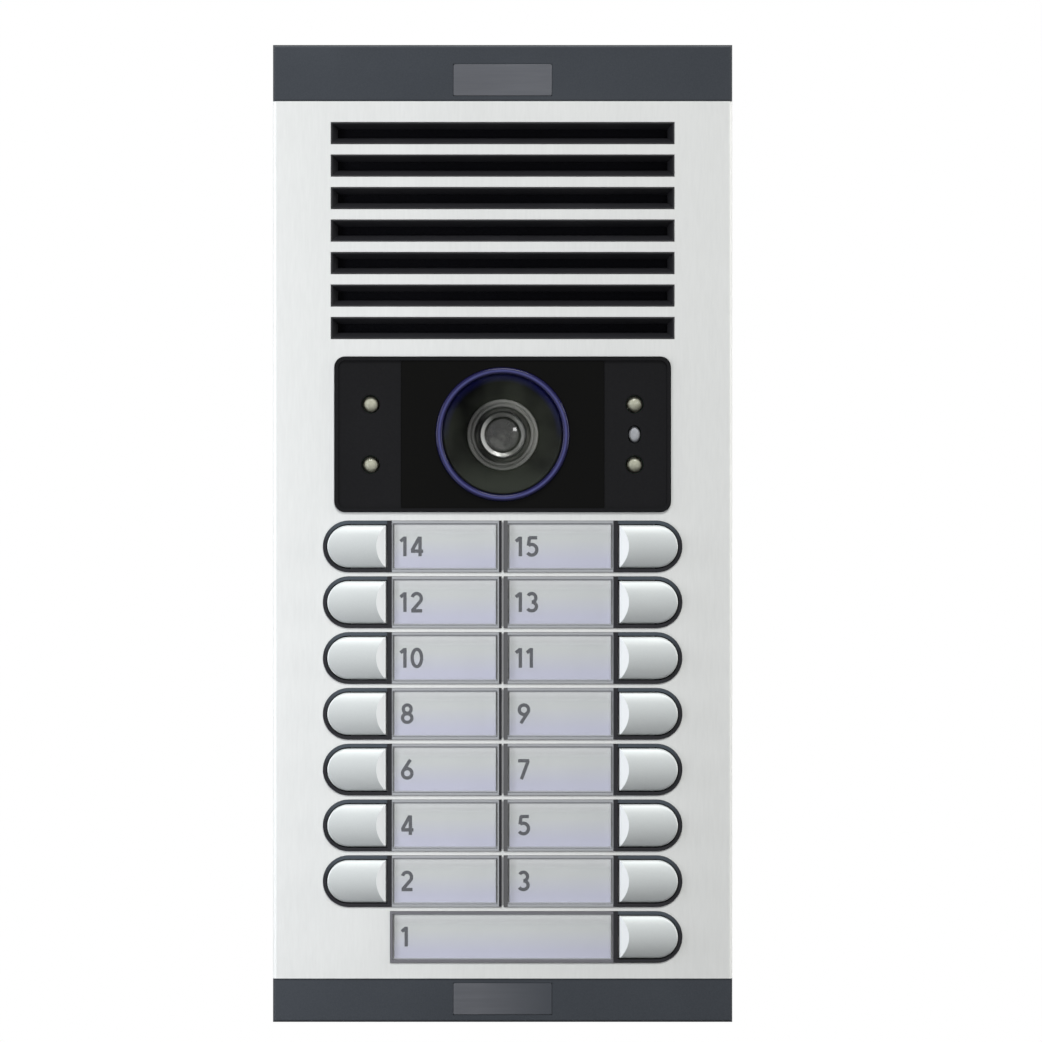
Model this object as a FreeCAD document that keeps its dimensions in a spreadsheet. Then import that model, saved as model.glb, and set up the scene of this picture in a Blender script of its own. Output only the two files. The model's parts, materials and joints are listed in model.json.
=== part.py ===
"""Video intercom door panel: fifteen calls, a camera and a speaker, mounted on a wall.

Millimetres. +Z is up, the front faces -Y, and X runs to the right seen from the front.
The origin is the middle of the back plate's rear face, which lies on the wall, at Y = 0.
A level is a distance in front of the wall, so a level of 36 lies at Y = -36.
"""

import FreeCAD, Part
import math
import operator
import os
from types import SimpleNamespace

import Sketcher


# Driving sizes: name, value, what it measures
SIZES = [
    ("panel_width", 140.0, "whole panel, side to side"),
    ("panel_depth", 36.0, "wall to the front face"),
    ("face_wall", 2.0, "front wall of the extruded profile"),
    ("side_wall", 1.6, "side walls of the profile"),
    ("long_edge_round", 1.2, "rounding of the two long front edges"),
    ("rear_lip_width", 4.0, "inward lip at the rear of each side wall, from the outside"),
    ("rear_lip_wall", 1.5, "thickness of that lip"),
    ("channel_inset", 9.0, "screw channel's middle from the panel's side"),
    ("channel_gap", 2.6, "width of the screw channel"),
    ("channel_rib", 1.2, "each rib beside the channel"),
    ("port_inset", 5.0, "end screw port's axis from the panel's side"),
    ("port_level", 18.0, "end screw port's axis in front of the wall"),
    ("port_width", 7.0, "square outside of the screw port"),
    ("port_bore", 2.6, "square bore of the screw port"),
    ("end_gap", 0.5, "module plates to the ends of the profile"),
    ("module_gap", 0.3, "between neighbouring module plates"),
    ("module_fit", 0.1, "raised part of a module to its opening"),
    ("plate_wall", 2.0, "base plate of each front module"),
    ("plate_fit", 0.3, "module plate to the channel rib"),
    # louvres
    ("louvre_margin", 17.6, "louvre's end from the panel's side"),
    ("louvre_height", 6.8, "one louvre slot"),
    ("louvre_pitch", 9.9, "from one louvre to the next"),
    ("louvre_count", 7, "louvre slots"),
    ("louvre_drop", 9.7, "profile's top edge to the middle of the first louvre"),
    ("hopper_rim", 0.35, "flat rim round a hopper's mouth"),
    ("hopper_slope", 1.65, "how far each hopper wall leans in"),
    ("hopper_depth", 3.5, "hopper, from its mouth to its straight throat"),
    ("louvre_gap", 5.25, "last louvre to the camera window"),
    # camera window
    ("window_margin", 18.65, "camera window's side from the panel's side"),
    ("window_height", 47.5, "camera window"),
    ("window_corner", 3.3, "corner radius of the camera window"),
    ("window_gap", 2.5, "camera window to the top button row"),
    ("bezel_proud", 0.5, "camera bezel in front of the face"),
    ("bezel_rim", 1.1, "raised rim round the bezel"),
    ("bezel_step", 0.6, "rim above the bezel's field"),
    ("bezel_skin", 1.5, "bezel's wall where it is hollow behind"),
    ("cover_half_width", 31.0, "glossy plate in the middle, half its width"),
    ("cover_wall", 1.0, "glossy plate"),
    ("cover_proud", 0.2, "glossy plate above the bezel's field"),
    ("ring_radius", 20.4, "outside of the blue ring"),
    ("ring_band", 2.0, "radial width of the blue ring"),
    ("ring_proud", 1.5, "blue ring in front of the face"),
    ("ring_length", 6.5, "blue ring, front to back"),
    ("ring_fit", 0.1, "between ring, funnel and bezel"),
    ("funnel_rim", 0.5, "funnel's front rim"),
    ("funnel_depth", 9.0, "from the funnel's rim to its narrow end"),
    ("funnel_setback", 0.8, "funnel's rim behind the face"),
    ("hollow_start", 31.6, "bezel's hollow sides from the lens axis"),
    ("cover_glass_wall", 1.4, "clear disc in front of the lens"),
    ("holder_radius", 10.9, "grey lens holder, its round front"),
    ("holder_reach", 1.2, "lens holder's front inside the funnel's narrow end"),
    ("holder_base", 22.0, "square foot of the lens holder"),
    ("holder_base_wall", 2.0, "thickness of that foot"),
    ("barrel_radius", 7.25, "lens barrel"),
    ("barrel_fit", 0.05, "lens barrel to its holder and glass to its barrel"),
    ("barrel_length", 14.0, "lens barrel, front to back"),
    ("barrel_proud", 2.8, "lens barrel in front of its holder"),
    ("glass_radius", 5.5, "front glass of the lens"),
    ("glass_wall", 1.4, "front glass, front to back"),
    ("glass_recess", 1.2, "front glass behind the barrel's front"),
    ("camera_depth", 14.4, "front of the camera board behind the funnel's narrow end"),
    ("camera_board_width", 46.0, "camera board"),
    ("camera_board_height", 41.0, "camera board"),
    ("camera_clip_z", 12.0, "camera board's clips from the lens axis, up and down"),
    ("sensor_width", 8.0, "image sensor"),
    ("sensor_wall", 1.0, "image sensor"),
    ("led_x", 40.2, "lighting LEDs from the lens axis, sideways"),
    ("led_z", 9.2, "lighting LEDs from the lens axis, up and down"),
    ("led_radius", 2.5, "body of a 5 mm LED"),
    ("led_well", 2.9, "radius of an LED's well in the bezel"),
    ("led_length", 8.6, "LED, foot to tip"),
    ("led_setback", 0.4, "LED's tip behind the bezel's field"),
    ("led_board_width", 14.0, "LED board"),
    ("led_board_height", 40.0, "LED board"),
    ("led_peg_z", 16.5, "LED board's pegs from the lens axis, up and down"),
    ("peg_width", 2.4, "square pegs that hold the LED boards"),
    ("peg_shoulder", 4.4, "those pegs in front of the board"),
    ("peg_end", 1.2, "those pegs behind the board"),
    ("light_sensor_width", 3.7, "oval light sensor"),
    ("light_sensor_height", 5.3, "oval light sensor"),
    # buttons and name windows
    ("button_margin", 15.2, "opening's outer end from the panel's side"),
    ("opening_height", 15.8, "button opening"),
    ("centre_web", 0.6, "strip of face between left and right openings"),
    ("row_pitch", 17.0, "from one button row to the next"),
    ("pair_rows", 7, "rows with two calls, above the bottom row with one"),
    ("bottom_row_rise", 12.65, "profile's bottom edge to the middle of the bottom row"),
    ("collar_proud", 0.3, "collars in front of the face"),
    ("collar_wall", 1.0, "collar round a button"),
    ("window_lip", 1.15, "collar beside a name window, at the middle web"),
    ("window_sill", 0.7, "collar above and below a name window, and at the long one's end"),
    ("bar_wall", 1.55, "bar between a name window and its button"),
    ("cap_gap", 0.35, "button cap to its collar"),
    ("cap_length", 17.9, "button cap, side to side"),
    ("cap_edge_proud", 0.4, "button cap's edge in front of the face"),
    ("cap_crown", 1.8, "how far the cap is crowned"),
    ("facet_reach", 3.0, "sloping facet at the cap's inner end"),
    ("facet_drop", 0.2, "foot of the facet below the cap's edge"),
    ("cap_wall", 1.5, "side walls of the cap"),
    ("cap_hollow", 4.0, "depth of the cap's hollow"),
    ("flange_play", 0.1, "cap's flange to the carrier it rests against"),
    ("flange_wall", 1.0, "cap's flange"),
    ("flange_reach", 0.5, "cap's flange beyond its aperture"),
    ("flange_inset", 0.5, "flange's end short of where the cap turns round"),
    ("plunger_width", 4.0, "square plunger under the cap"),
    ("plunger_reach", 1.9, "plunger behind the flange"),
    ("button_travel", 1.2, "how far a button goes in"),
    ("dome_rest", 0.8, "rubber left under a pressed button"),
    ("dome_width", 9.0, "square rubber dome"),
    ("dome_bevel", 1.5, "bevel of the rubber domes"),
    ("mat_wall", 1.0, "rubber mat"),
    ("mat_strip", 15.0, "width of the mat under a column of buttons"),
    ("mat_bar", 2.5, "cross bars that join the mat's two strips"),
    ("mat_reach", 7.5, "mat, diffuser and board beyond the outer rows"),
    ("lens_recess", 0.7, "name window's front behind the face"),
    ("lens_fit", 0.1, "name window to its aperture"),
    ("lens_flange_reach", 0.8, "name window's flange beyond its aperture"),
    ("lens_flange_wall", 1.0, "name window's flange"),
    ("lens_skin", 0.8, "name window's front wall, before its card"),
    ("lens_side", 0.4, "name window's side walls, round its card"),
    ("card_wall", 0.3, "name card"),
    ("card_fit", 0.05, "name card to the side walls of its window"),
    ("diffuser_wall", 1.5, "opal sheet behind the cards"),
    ("board_wall", 1.6, "every circuit board"),
    ("light_width", 3.0, "backlight LED"),
    ("light_height", 1.5, "backlight LED"),
    ("light_wall", 1.0, "backlight LED"),
    # terminals
    ("terminal_width", 50.0, "terminal block"),
    ("terminal_height", 11.0, "terminal block"),
    ("terminal_depth", 10.5, "terminal block behind the main board"),
    ("terminal_rise", 58.0, "terminal block above the bottom row"),
    ("terminal_pitch", 8.0, "from one terminal to the next"),
    ("terminal_count", 6, "terminals"),
    ("terminal_mouth", 4.4, "square wire mouth of a terminal"),
    ("terminal_mouth_depth", 7.0, "depth of the wire mouth"),
    # speaker and microphone
    ("membrane_wall", 0.3, "splash membrane"),
    ("speaker_width", 57.0, "loudspeaker's square frame"),
    ("speaker_fit", 0.2, "loudspeaker's frame to its well"),
    ("speaker_hole", 26.0, "radius of the opening in front of the diaphragm"),
    ("speaker_well_wall", 1.5, "well round the loudspeaker"),
    ("speaker_well_depth", 3.3, "depth of that well"),
    ("basket_wall", 1.2, "loudspeaker's sheet metal frame"),
    ("basket_mouth", 24.5, "radius of the frame's mouth"),
    ("basket_depth", 9.0, "frame, front to back"),
    ("strut_width", 12.0, "bridge of the frame, up and down"),
    ("strut_wall", 1.7, "bridge's sloping legs, measured sideways"),
    ("strut_lean", 10.0, "how far those legs lean in"),
    ("magnet_radius", 14.0, "magnet"),
    ("magnet_length", 8.0, "magnet, front to back"),
    ("diaphragm_radius", 25.7, "loudspeaker's diaphragm"),
    ("diaphragm_wall", 0.5, "loudspeaker's diaphragm"),
    ("mic_x", 46.0, "microphone from the middle"),
    ("mic_radius", 4.85, "microphone capsule"),
    ("mic_length", 4.5, "microphone capsule"),
    ("mic_boot_width", 12.4, "square rubber boot round the microphone"),
    ("mic_cup_wall", 1.2, "cup that holds the boot"),
    ("mic_cup_depth", 5.0, "depth of that cup"),
    ("mic_fit", 0.05, "microphone to boot and boot to cup"),
    ("mic_inlet", 5.0, "square sound inlet"),
    # fasteners
    ("ear_wall", 2.0, "screw ears behind the channel ribs"),
    ("ear_height", 6.0, "screw ears, up and down"),
    ("ear_reach", 3.5, "ears beyond the channel's middle"),
    ("ear_root", 4.0, "overlap of an ear with its module's plate"),
    ("screw_radius", 1.25, "self tapping screw's core"),
    ("screw_slot", 3.4, "clearance slot for that screw"),
    ("thread_fit", 0.05, "a screw's core to what it is screwed into"),
    ("head_width", 5.5, "hexagon head across its flats"),
    ("head_wall", 1.8, "hexagon head, front to back"),
    ("clip_height", 6.0, "moulded clips, up and down"),
    ("clip_wall", 1.9, "clip beside a board's edge"),
    ("clip_rest", 2.2, "clip's rest in front of a board"),
    ("clip_hook", 0.8, "clip's hook behind a board, sideways"),
    ("clip_hook_wall", 1.4, "that hook, front to back"),
    ("clip_fit", 0.1, "board's edge to its clips"),
    ("clip_rise", 25.5, "main board's lowest clips above the bottom row"),
    ("clip_pitch", 42.5, "from one pair of those clips to the next"),
    ("clip_count", 3, "pairs of those clips"),
    # end caps
    ("top_cap_height", 17.2, "top end cap"),
    ("bottom_cap_height", 13.3, "bottom end cap"),
    ("cap_edge_round", 0.8, "rounding of the end caps' outer front edge"),
    ("end_wall", 2.5, "outer and front walls of an end cap"),
    ("end_rear_wall", 2.0, "rear wall of an end cap"),
    ("end_pillar", 10.0, "solid block at each side of an end cap"),
    ("end_seat", 3.0, "material under an end screw's head"),
    ("end_head_hole", 6.8, "square recess for an end screw's head"),
    ("end_screw_length", 12.0, "end screw under its head"),
    ("tongue_wall", 2.0, "tongues that locate an end cap"),
    ("tongue_fit", 0.15, "tongue to the profile's side wall"),
    ("tongue_reach", 6.0, "tongues into the profile"),
    ("tongue_level", 4.0, "rear edge of the tongues, in front of the wall"),
    ("tongue_depth", 10.0, "tongues, front to back"),
    ("inlay_width", 30.0, "bare inlay plates"),
    ("inlay_height", 9.6, "bare inlay plates"),
    ("inlay_wall", 0.5, "bare inlay plates"),
    ("inlay_proud", 0.05, "inlay plates in front of the cap"),
    ("top_inlay_rise", 6.5, "top inlay's middle above the profile"),
    ("bottom_inlay_drop", 6.2, "bottom inlay's middle below the profile"),
    # wall plate
    ("gasket_wall", 1.0, "foam gasket, front to back"),
    ("gasket_width", 4.0, "foam gasket"),
    ("gasket_inset", 0.3, "gasket inside the panel's outline"),
    ("back_wall", 1.5, "wall plate"),
    ("back_gap", 1.0, "wall plate to the profile's lips"),
    ("back_end_gap", 0.7, "wall plate's flanges short of the end caps"),
    ("hook_width", 50.0, "hook at the top of the wall plate"),
    ("hook_level", 8.5, "hook's upstand in front of the wall"),
    ("hook_height", 6.0, "upstand above its flange"),
    ("hook_rib", 2.0, "rib of the top cap that hangs behind the upstand"),
    ("hook_fit", 0.2, "rib to the upstand and the flange"),
    ("tab_width", 30.0, "flange for the locking screw"),
    ("tab_depth", 16.0, "that flange, out from the wall"),
    ("lock_level", 9.0, "locking screw's axis in front of the wall"),
    ("lock_screw_radius", 2.0, "locking screw"),
    ("lock_screw_length", 18.0, "locking screw under its head"),
    ("lock_slot", 4.3, "square slots for the locking screw"),
    ("lock_head_width", 7.0, "locking screw's hexagon head across its flats"),
    ("lock_head_wall", 2.4, "locking screw's head"),
    ("lock_recess", 2.7, "how far the locking screw's head is sunk"),
    ("lock_recess_width", 8.6, "square recess round the sunk head"),
    ("lock_boss_wall", 1.8, "wall of the boss round that recess"),
    ("wall_hole_radius", 2.25, "holes for the wall screws"),
    ("wall_hole_x", 100.0, "between the wall screws, sideways"),
    ("wall_hole_z", 220.0, "between the wall screws, up and down"),
    ("cable_drop", 45.0, "cable entry below the middle"),
    ("cable_bore", 6.0, "radius of the cable entry"),
    ("grommet_neck", 18.0, "grommet's square neck in the plate"),
    ("grommet_flange", 23.0, "grommet's square flange"),
    ("grommet_flange_wall", 2.0, "grommet's flange"),
]


# two lengths this close, in mm, count as equal
NEAR = 1e-3

doc = FreeCAD.newDocument("door_panel")


class Size:
    """A length, with the formula that ties it to the sheet."""

    SIGNS = {"+": operator.add, "-": operator.sub, "*": operator.mul, "/": operator.truediv}

    def __init__(self, formula, value):
        self.formula = formula
        self.value = value

    @staticmethod
    def of(value):
        if isinstance(value, Size):
            return value
        return Size(repr(float(value)), float(value))

    @staticmethod
    def joined(first, sign, second):
        first = Size.of(first)
        second = Size.of(second)
        value = Size.SIGNS[sign](first.value, second.value)
        return Size(f"({first.formula} {sign} {second.formula})", value)

    def __add__(self, other):
        return Size.joined(self, "+", other)

    def __radd__(self, other):
        return Size.joined(other, "+", self)

    def __sub__(self, other):
        return Size.joined(self, "-", other)

    def __rsub__(self, other):
        return Size.joined(other, "-", self)

    def __mul__(self, other):
        return Size.joined(self, "*", other)

    def __rmul__(self, other):
        return Size.joined(other, "*", self)

    def __truediv__(self, other):
        return Size.joined(self, "/", other)

    def __neg__(self):
        return Size.joined(-1, "*", self)


def fill_sheet():
    """Write the driving sizes to the sheet and return them by name."""
    sheet = doc.addObject("Spreadsheet::Sheet", "Sizes")
    for row, (name, value, meaning) in enumerate(SIZES, 1):
        sheet.set(f"A{row}", name)
        sheet.set(f"B{row}", str(value))
        sheet.set(f"C{row}", meaning)
        sheet.setAlias(f"B{row}", name)
    doc.recompute()
    return SimpleNamespace(**{name: Size(f"Sizes.{name}", value) for name, value, _ in SIZES})


S = fill_sheet()


def bind(thing, path, size):
    """Tie one property of a document object to the sheet."""
    thing.setExpression(path, Size.of(size).formula)


class Piece:
    """One body, shaped step by step on its own origin planes."""

    def __init__(self, label):
        self.body = doc.addObject("PartDesign::Body", label)
        self.body.Label = label

    def origin(self, role):
        return next(part for part in self.body.Origin.OriginFeatures if part.Role == role)

    def sketch(self, plane, offset):
        drawing = self.body.newObject("Sketcher::SketchObject", f"{self.body.Name}_sketch")
        drawing.AttachmentSupport = [(self.origin(plane), "")]
        drawing.MapMode = "FlatFace"
        bind(drawing, "AttachmentOffset.Base.z", offset)
        return drawing

    def front(self, level):
        """A sketch seen from the front: X to the right, Z up."""
        return self.sketch("XZ_Plane", level)

    def across(self, height):
        """A sketch across the panel, seen from above: X to the right, -level up."""
        return self.sketch("XY_Plane", height)

    def side(self, x):
        """A sketch seen from the right: -level to the right, Z up."""
        return self.sketch("YZ_Plane", x)

    def feature(self, kind, name):
        return self.body.newObject(f"PartDesign::{kind}", f"{self.body.Name}_{name}")

    def update(self):
        doc.recompute([self.body])

    def volume(self):
        self.update()
        return 0.0 if self.body.Shape.isNull() else self.body.Shape.Volume

    def pad(self, drawing, length):
        before = self.volume()
        step = self.feature("Pad", "pad")
        step.Profile = drawing
        bind(step, "Length", length)
        if self.volume() <= before:
            raise ValueError(f"{step.Name} adds nothing")
        return step

    def cut(self, drawing, length=None):
        """Cut against the sketch's normal, or both ways through everything."""
        before = self.volume()
        step = self.feature("Pocket", "cut")
        step.Profile = drawing
        if length is None:
            step.Type = "ThroughAll"
            step.Midplane = True
        else:
            bind(step, "Length", length)
        if self.volume() >= before:
            raise ValueError(f"{step.Name} cuts nothing")
        return step

    def turn(self, drawing):
        """Turn a section about the sketch's upright axis."""
        step = self.feature("Revolution", "turn")
        step.Profile = drawing
        step.ReferenceAxis = (drawing, ["V_Axis"])
        step.Angle = 360
        self.update()

    def repeat(self, steps, axis, pitch, count):
        pattern = self.feature("LinearPattern", "row")
        pattern.Originals = steps
        pattern.Direction = (self.origin(axis), [""])
        pattern.Mode = "Spacing"
        bind(pattern, "Offset", pitch)
        bind(pattern, "Occurrences", count)
        self.body.Tip = pattern
        self.update()

    def edges(self, wanted):
        """The last step and the names of its edges for which wanted(edge) is true."""
        self.update()
        base = self.body.Tip
        names = [f"Edge{number}" for number, edge in enumerate(base.Shape.Edges, 1) if wanted(edge)]
        return base, names

    def round_edges(self, radius, wanted):
        base = self.edges(wanted)
        step = self.feature("Fillet", "round")
        step.Base = base
        bind(step, "Radius", radius)
        self.update()

    def bevel_edges(self, wanted, depth, width=None):
        """Bevel edges evenly, or more in depth than in width."""
        base = self.edges(wanted)
        step = self.feature("Chamfer", "bevel")
        step.Base = base
        bind(step, "Size", depth)
        if width is not None:
            step.ChamferType = "Two distances"
            bind(step, "Size2", width)
        self.update()

    def place(self, height):
        """Lift the whole body to its height."""
        bind(self.body, "Placement.Base.z", height)
        self.update()


def flat(corner):
    return FreeCAD.Vector(Size.of(corner[0]).value, Size.of(corner[1]).value, 0)


def hold(drawing, geometry, position, corner):
    """Hold a point of the sketch at its place from the sketch's origin."""
    for kind, size in zip(("DistanceX", "DistanceY"), corner):
        size = Size.of(size)
        number = drawing.addConstraint(
            Sketcher.Constraint(kind, -1, 1, geometry, position, size.value)
        )
        bind(drawing, f"Constraints[{number}]", size)


def arc_between(start, end, centre, turn):
    """An arc from start to end about centre, and the numbers of its two ends."""
    middle = flat(centre)
    angles = [math.atan2(point.y - middle.y, point.x - middle.x) for point in (flat(start), flat(end))]
    if turn < 0:
        angles.reverse()
    if angles[1] < angles[0]:
        angles[1] += 2 * math.pi
    circle = Part.Circle(middle, FreeCAD.Vector(0, 0, 1), (flat(start) - middle).Length)
    return Part.ArcOfCircle(circle, *angles)


def outline(drawing, corners, arcs=None):
    """Draw a closed outline through the corners and hold each corner at its place.

    arcs names the corners that an arc leaves, with its centre and its turn:
    1 is anticlockwise, -1 clockwise.
    """
    arcs = arcs or {}
    first = drawing.GeometryCount
    ends = []
    for number, start in enumerate(corners):
        end = corners[(number + 1) % len(corners)]
        if number in arcs:
            centre, turn = arcs[number]
            drawing.addGeometry(arc_between(start, end, centre, turn))
            ends.append((1, 2) if turn > 0 else (2, 1))
        else:
            drawing.addGeometry(Part.LineSegment(flat(start), flat(end)))
            ends.append((1, 2))
    for number, corner in enumerate(corners):
        after = (number + 1) % len(corners)
        drawing.addConstraint(
            Sketcher.Constraint("Coincident", first + number, ends[number][1], first + after, ends[after][0])
        )
        hold(drawing, first + number, ends[number][0], corner)
    for number, (centre, turn) in arcs.items():
        chord = flat(corners[(number + 1) % len(corners)]) - flat(corners[number])
        upright = abs(chord.y) > abs(chord.x)
        size = Size.of(centre[0] if upright else centre[1])
        kind = "DistanceX" if upright else "DistanceY"
        limit = drawing.addConstraint(Sketcher.Constraint(kind, -1, 1, first + number, 3, size.value))
        bind(drawing, f"Constraints[{limit}]", size)


def rectangle(drawing, one_side, other_side, low, high):
    left, right = sorted((Size.of(one_side), Size.of(other_side)), key=lambda size: size.value)
    outline(drawing, [(left, low), (right, low), (right, high), (left, high)])


def block(drawing, x, y, width, height=None):
    """A rectangle, or without a height a square, about (x, y)."""
    half_wide = width / 2
    half_tall = half_wide if height is None else height / 2
    rectangle(drawing, x - half_wide, x + half_wide, y - half_tall, y + half_tall)


def hexagon(drawing, x, y, width):
    """A hexagon about (x, y), its flats at its left and right."""
    half = width / 2
    corner = width / math.sqrt(3)
    outline(drawing, [
        (x, y - corner), (x + half, y - corner / 2), (x + half, y + corner / 2),
        (x, y + corner), (x - half, y + corner / 2), (x - half, y - corner / 2),
    ])


def circle(drawing, x, y, radius):
    number = drawing.GeometryCount
    radius = Size.of(radius)
    drawing.addGeometry(Part.Circle(flat((x, y)), FreeCAD.Vector(0, 0, 1), radius.value))
    hold(drawing, number, 3, (x, y))
    limit = drawing.addConstraint(Sketcher.Constraint("Radius", number, radius.value))
    bind(drawing, f"Constraints[{limit}]", radius)


def rounded_rectangle(drawing, half_wide, half_tall, corner):
    """A rectangle with round corners about the sketch's origin."""
    straight_x = half_wide - corner
    straight_y = half_tall - corner
    corners = [
        (-straight_x, -half_tall), (straight_x, -half_tall),
        (half_wide, -straight_y), (half_wide, straight_y),
        (straight_x, half_tall), (-straight_x, half_tall),
        (-half_wide, straight_y), (-half_wide, -straight_y),
    ]
    centres = [
        (straight_x, -straight_y), (straight_x, straight_y),
        (-straight_x, straight_y), (-straight_x, -straight_y),
    ]
    outline(drawing, corners, {1 + 2 * number: (centre, 1) for number, centre in enumerate(centres)})


def button_outline(drawing, side, inner, outer, height, middle):
    """A button's shape: square at its inner end, a half circle at its outer end."""
    half = height / 2
    straight = outer - half
    corners = [
        (side * inner, middle - side * half), (side * straight, middle - side * half),
        (side * straight, middle + side * half), (side * inner, middle + side * half),
    ]
    outline(drawing, corners, {1: ((side * straight, middle), 1)})


def upright_oval(drawing, x, width, height):
    """An oval with half circles at its top and bottom, about (x, 0)."""
    half = width / 2
    straight = height / 2 - half
    corners = [
        (x - half, -straight), (x + half, -straight),
        (x + half, straight), (x - half, straight),
    ]
    outline(drawing, corners, {0: ((x, -straight), 1), 2: ((x, straight), 1)})


def section(corners):
    """Turn (x or radius, level) pairs into points of a sketch across the panel."""
    return [(x, -level) for x, level in corners]


def turned(label, corners, height):
    """A round piece whose axis runs from front to back; corners are (radius, level)."""
    piece = Piece(label)
    drawing = piece.across(0)
    outline(drawing, section(corners))
    piece.turn(drawing)
    piece.place(height)


def clip(piece, side, edge, levels, low):
    """A moulded snap clip on a module's plate, which holds one edge of a board.

    edge is the board's edge; levels are the board's front and back.
    """
    board_front, board_back = levels
    near = edge + S.clip_fit
    outer = near + S.clip_wall
    hook_back = board_back - S.clip_hook_wall
    corners = [
        (near - S.clip_rest, plate_back), (near - S.clip_rest, board_front), (near, board_front),
        (near, board_back), (edge - S.clip_hook, board_back), (near + S.clip_wall / 2, hook_back),
        (outer, hook_back), (outer, plate_back),
    ]
    drawing = piece.across(low)
    outline(drawing, section([(side * x, level) for x, level in corners]))
    return piece.pad(drawing, S.clip_height)


# Widths, measured from the middle of the panel
half_width = S.panel_width / 2
inner_width = half_width - S.side_wall
channel_x = half_width - S.channel_inset
channel_near = channel_x - S.channel_gap / 2
plate_half = channel_near - S.channel_rib - S.plate_fit
port_x = half_width - S.port_inset
ear_end = channel_x + S.ear_reach
louvre_half = half_width - S.louvre_margin
window_half = half_width - S.window_margin
opening_outer = half_width - S.button_margin
opening_inner = S.centre_web / 2
collar_outer = opening_outer - S.module_fit
collar_inner = opening_inner + S.module_fit
aperture_outer = collar_outer - S.collar_wall
cap_outer = aperture_outer - S.cap_gap
cap_inner = cap_outer - S.cap_length
aperture_inner = cap_inner - S.cap_gap
window_outer = aperture_inner - S.bar_wall
window_inner = collar_inner + S.window_lip
long_collar_end = window_outer + S.window_sill
button_x = (cap_inner + cap_outer) / 2
board_half = plate_half - S.clip_wall - S.clip_fit

# Heights of the openings and of what fills them
collar_height = S.opening_height - 2 * S.module_fit
aperture_height = collar_height - 2 * S.collar_wall
cap_height = aperture_height - 2 * S.cap_gap
name_height = collar_height - 2 * S.window_sill

# Places up and down the panel
profile_length = (
    S.louvre_drop + (S.louvre_count - 1) * S.louvre_pitch + S.louvre_height / 2 + S.louvre_gap
    + S.window_height + S.window_gap
    + S.opening_height / 2 + S.pair_rows * S.row_pitch + S.bottom_row_rise
)
half_height = (S.top_cap_height + profile_length + S.bottom_cap_height) / 2
profile_top = half_height - S.top_cap_height
profile_bottom = S.bottom_cap_height - half_height
top_louvre = profile_top - S.louvre_drop
bottom_louvre = top_louvre - (S.louvre_count - 1) * S.louvre_pitch
window_top = bottom_louvre - S.louvre_height / 2 - S.louvre_gap
camera_z = window_top - S.window_height / 2
bottom_row = profile_bottom + S.bottom_row_rise
lowest_pair = bottom_row + S.row_pitch
top_row = bottom_row + S.pair_rows * S.row_pitch
upper_split = window_top + S.louvre_gap / 2
lower_split = top_row + S.opening_height / 2 + S.window_gap / 2
speaker_z = (top_louvre + bottom_louvre) / 2
terminal_z = bottom_row + S.terminal_rise
microphone_z = bottom_louvre + S.louvre_pitch

# Levels, from the wall towards the front
front = S.panel_depth
face_back = front - S.face_wall
plate_back = face_back - S.plate_wall
ear_back = plate_back - S.ear_wall
bezel_front = front + S.bezel_proud
bezel_field = bezel_front - S.bezel_step
cover_front = bezel_field + S.cover_proud
ring_front = front + S.ring_proud
ring_back = ring_front - S.ring_length
funnel_front = front - S.funnel_setback
funnel_end = funnel_front - S.funnel_depth
holder_front = funnel_end + S.holder_reach
barrel_front = holder_front + S.barrel_proud
glass_front = barrel_front - S.glass_recess
glass_back = glass_front - S.glass_wall
camera_board_front = funnel_end - S.camera_depth
camera_board_back = camera_board_front - S.board_wall
led_tip = bezel_field - S.led_setback
led_board_front = led_tip - S.led_length
cap_edge = front + S.cap_edge_proud
cap_peak = cap_edge + S.cap_crown
flange_front = plate_back - S.flange_play
flange_back = flange_front - S.flange_wall
dome_top = flange_back - S.plunger_reach
mat_front = dome_top - S.button_travel - S.dome_rest
board_front = mat_front - S.mat_wall
board_back = board_front - S.board_wall
lens_front = front - S.lens_recess
rebate_front = plate_back + S.lens_flange_wall
card_front = lens_front - S.lens_skin
membrane_back = plate_back - S.membrane_wall
rim_back = ear_back - S.basket_wall
basket_back = rim_back - S.basket_depth
ring_inner = S.ring_radius - S.ring_band
tube_radius = ring_inner - S.ring_fit

# Heights of the carrier's screw ears
carrier_ears = [bottom_row + S.row_pitch / 2, top_row - S.row_pitch / 2]


def ears(piece, heights, root=0):
    """Ears behind the channel ribs, a screw hole in each, rooted behind the module's plate."""
    drawing = piece.front(ear_back)
    holes = piece.front(plate_back)
    for side in (1, -1):
        for height in heights:
            low = height - S.ear_height / 2
            rectangle(drawing, side * (plate_half - root), side * ear_end, low, low + S.ear_height)
            block(holes, side * channel_x, height, S.screw_slot)
    piece.pad(drawing, S.ear_wall)
    piece.cut(holes, S.ear_wall)


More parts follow.
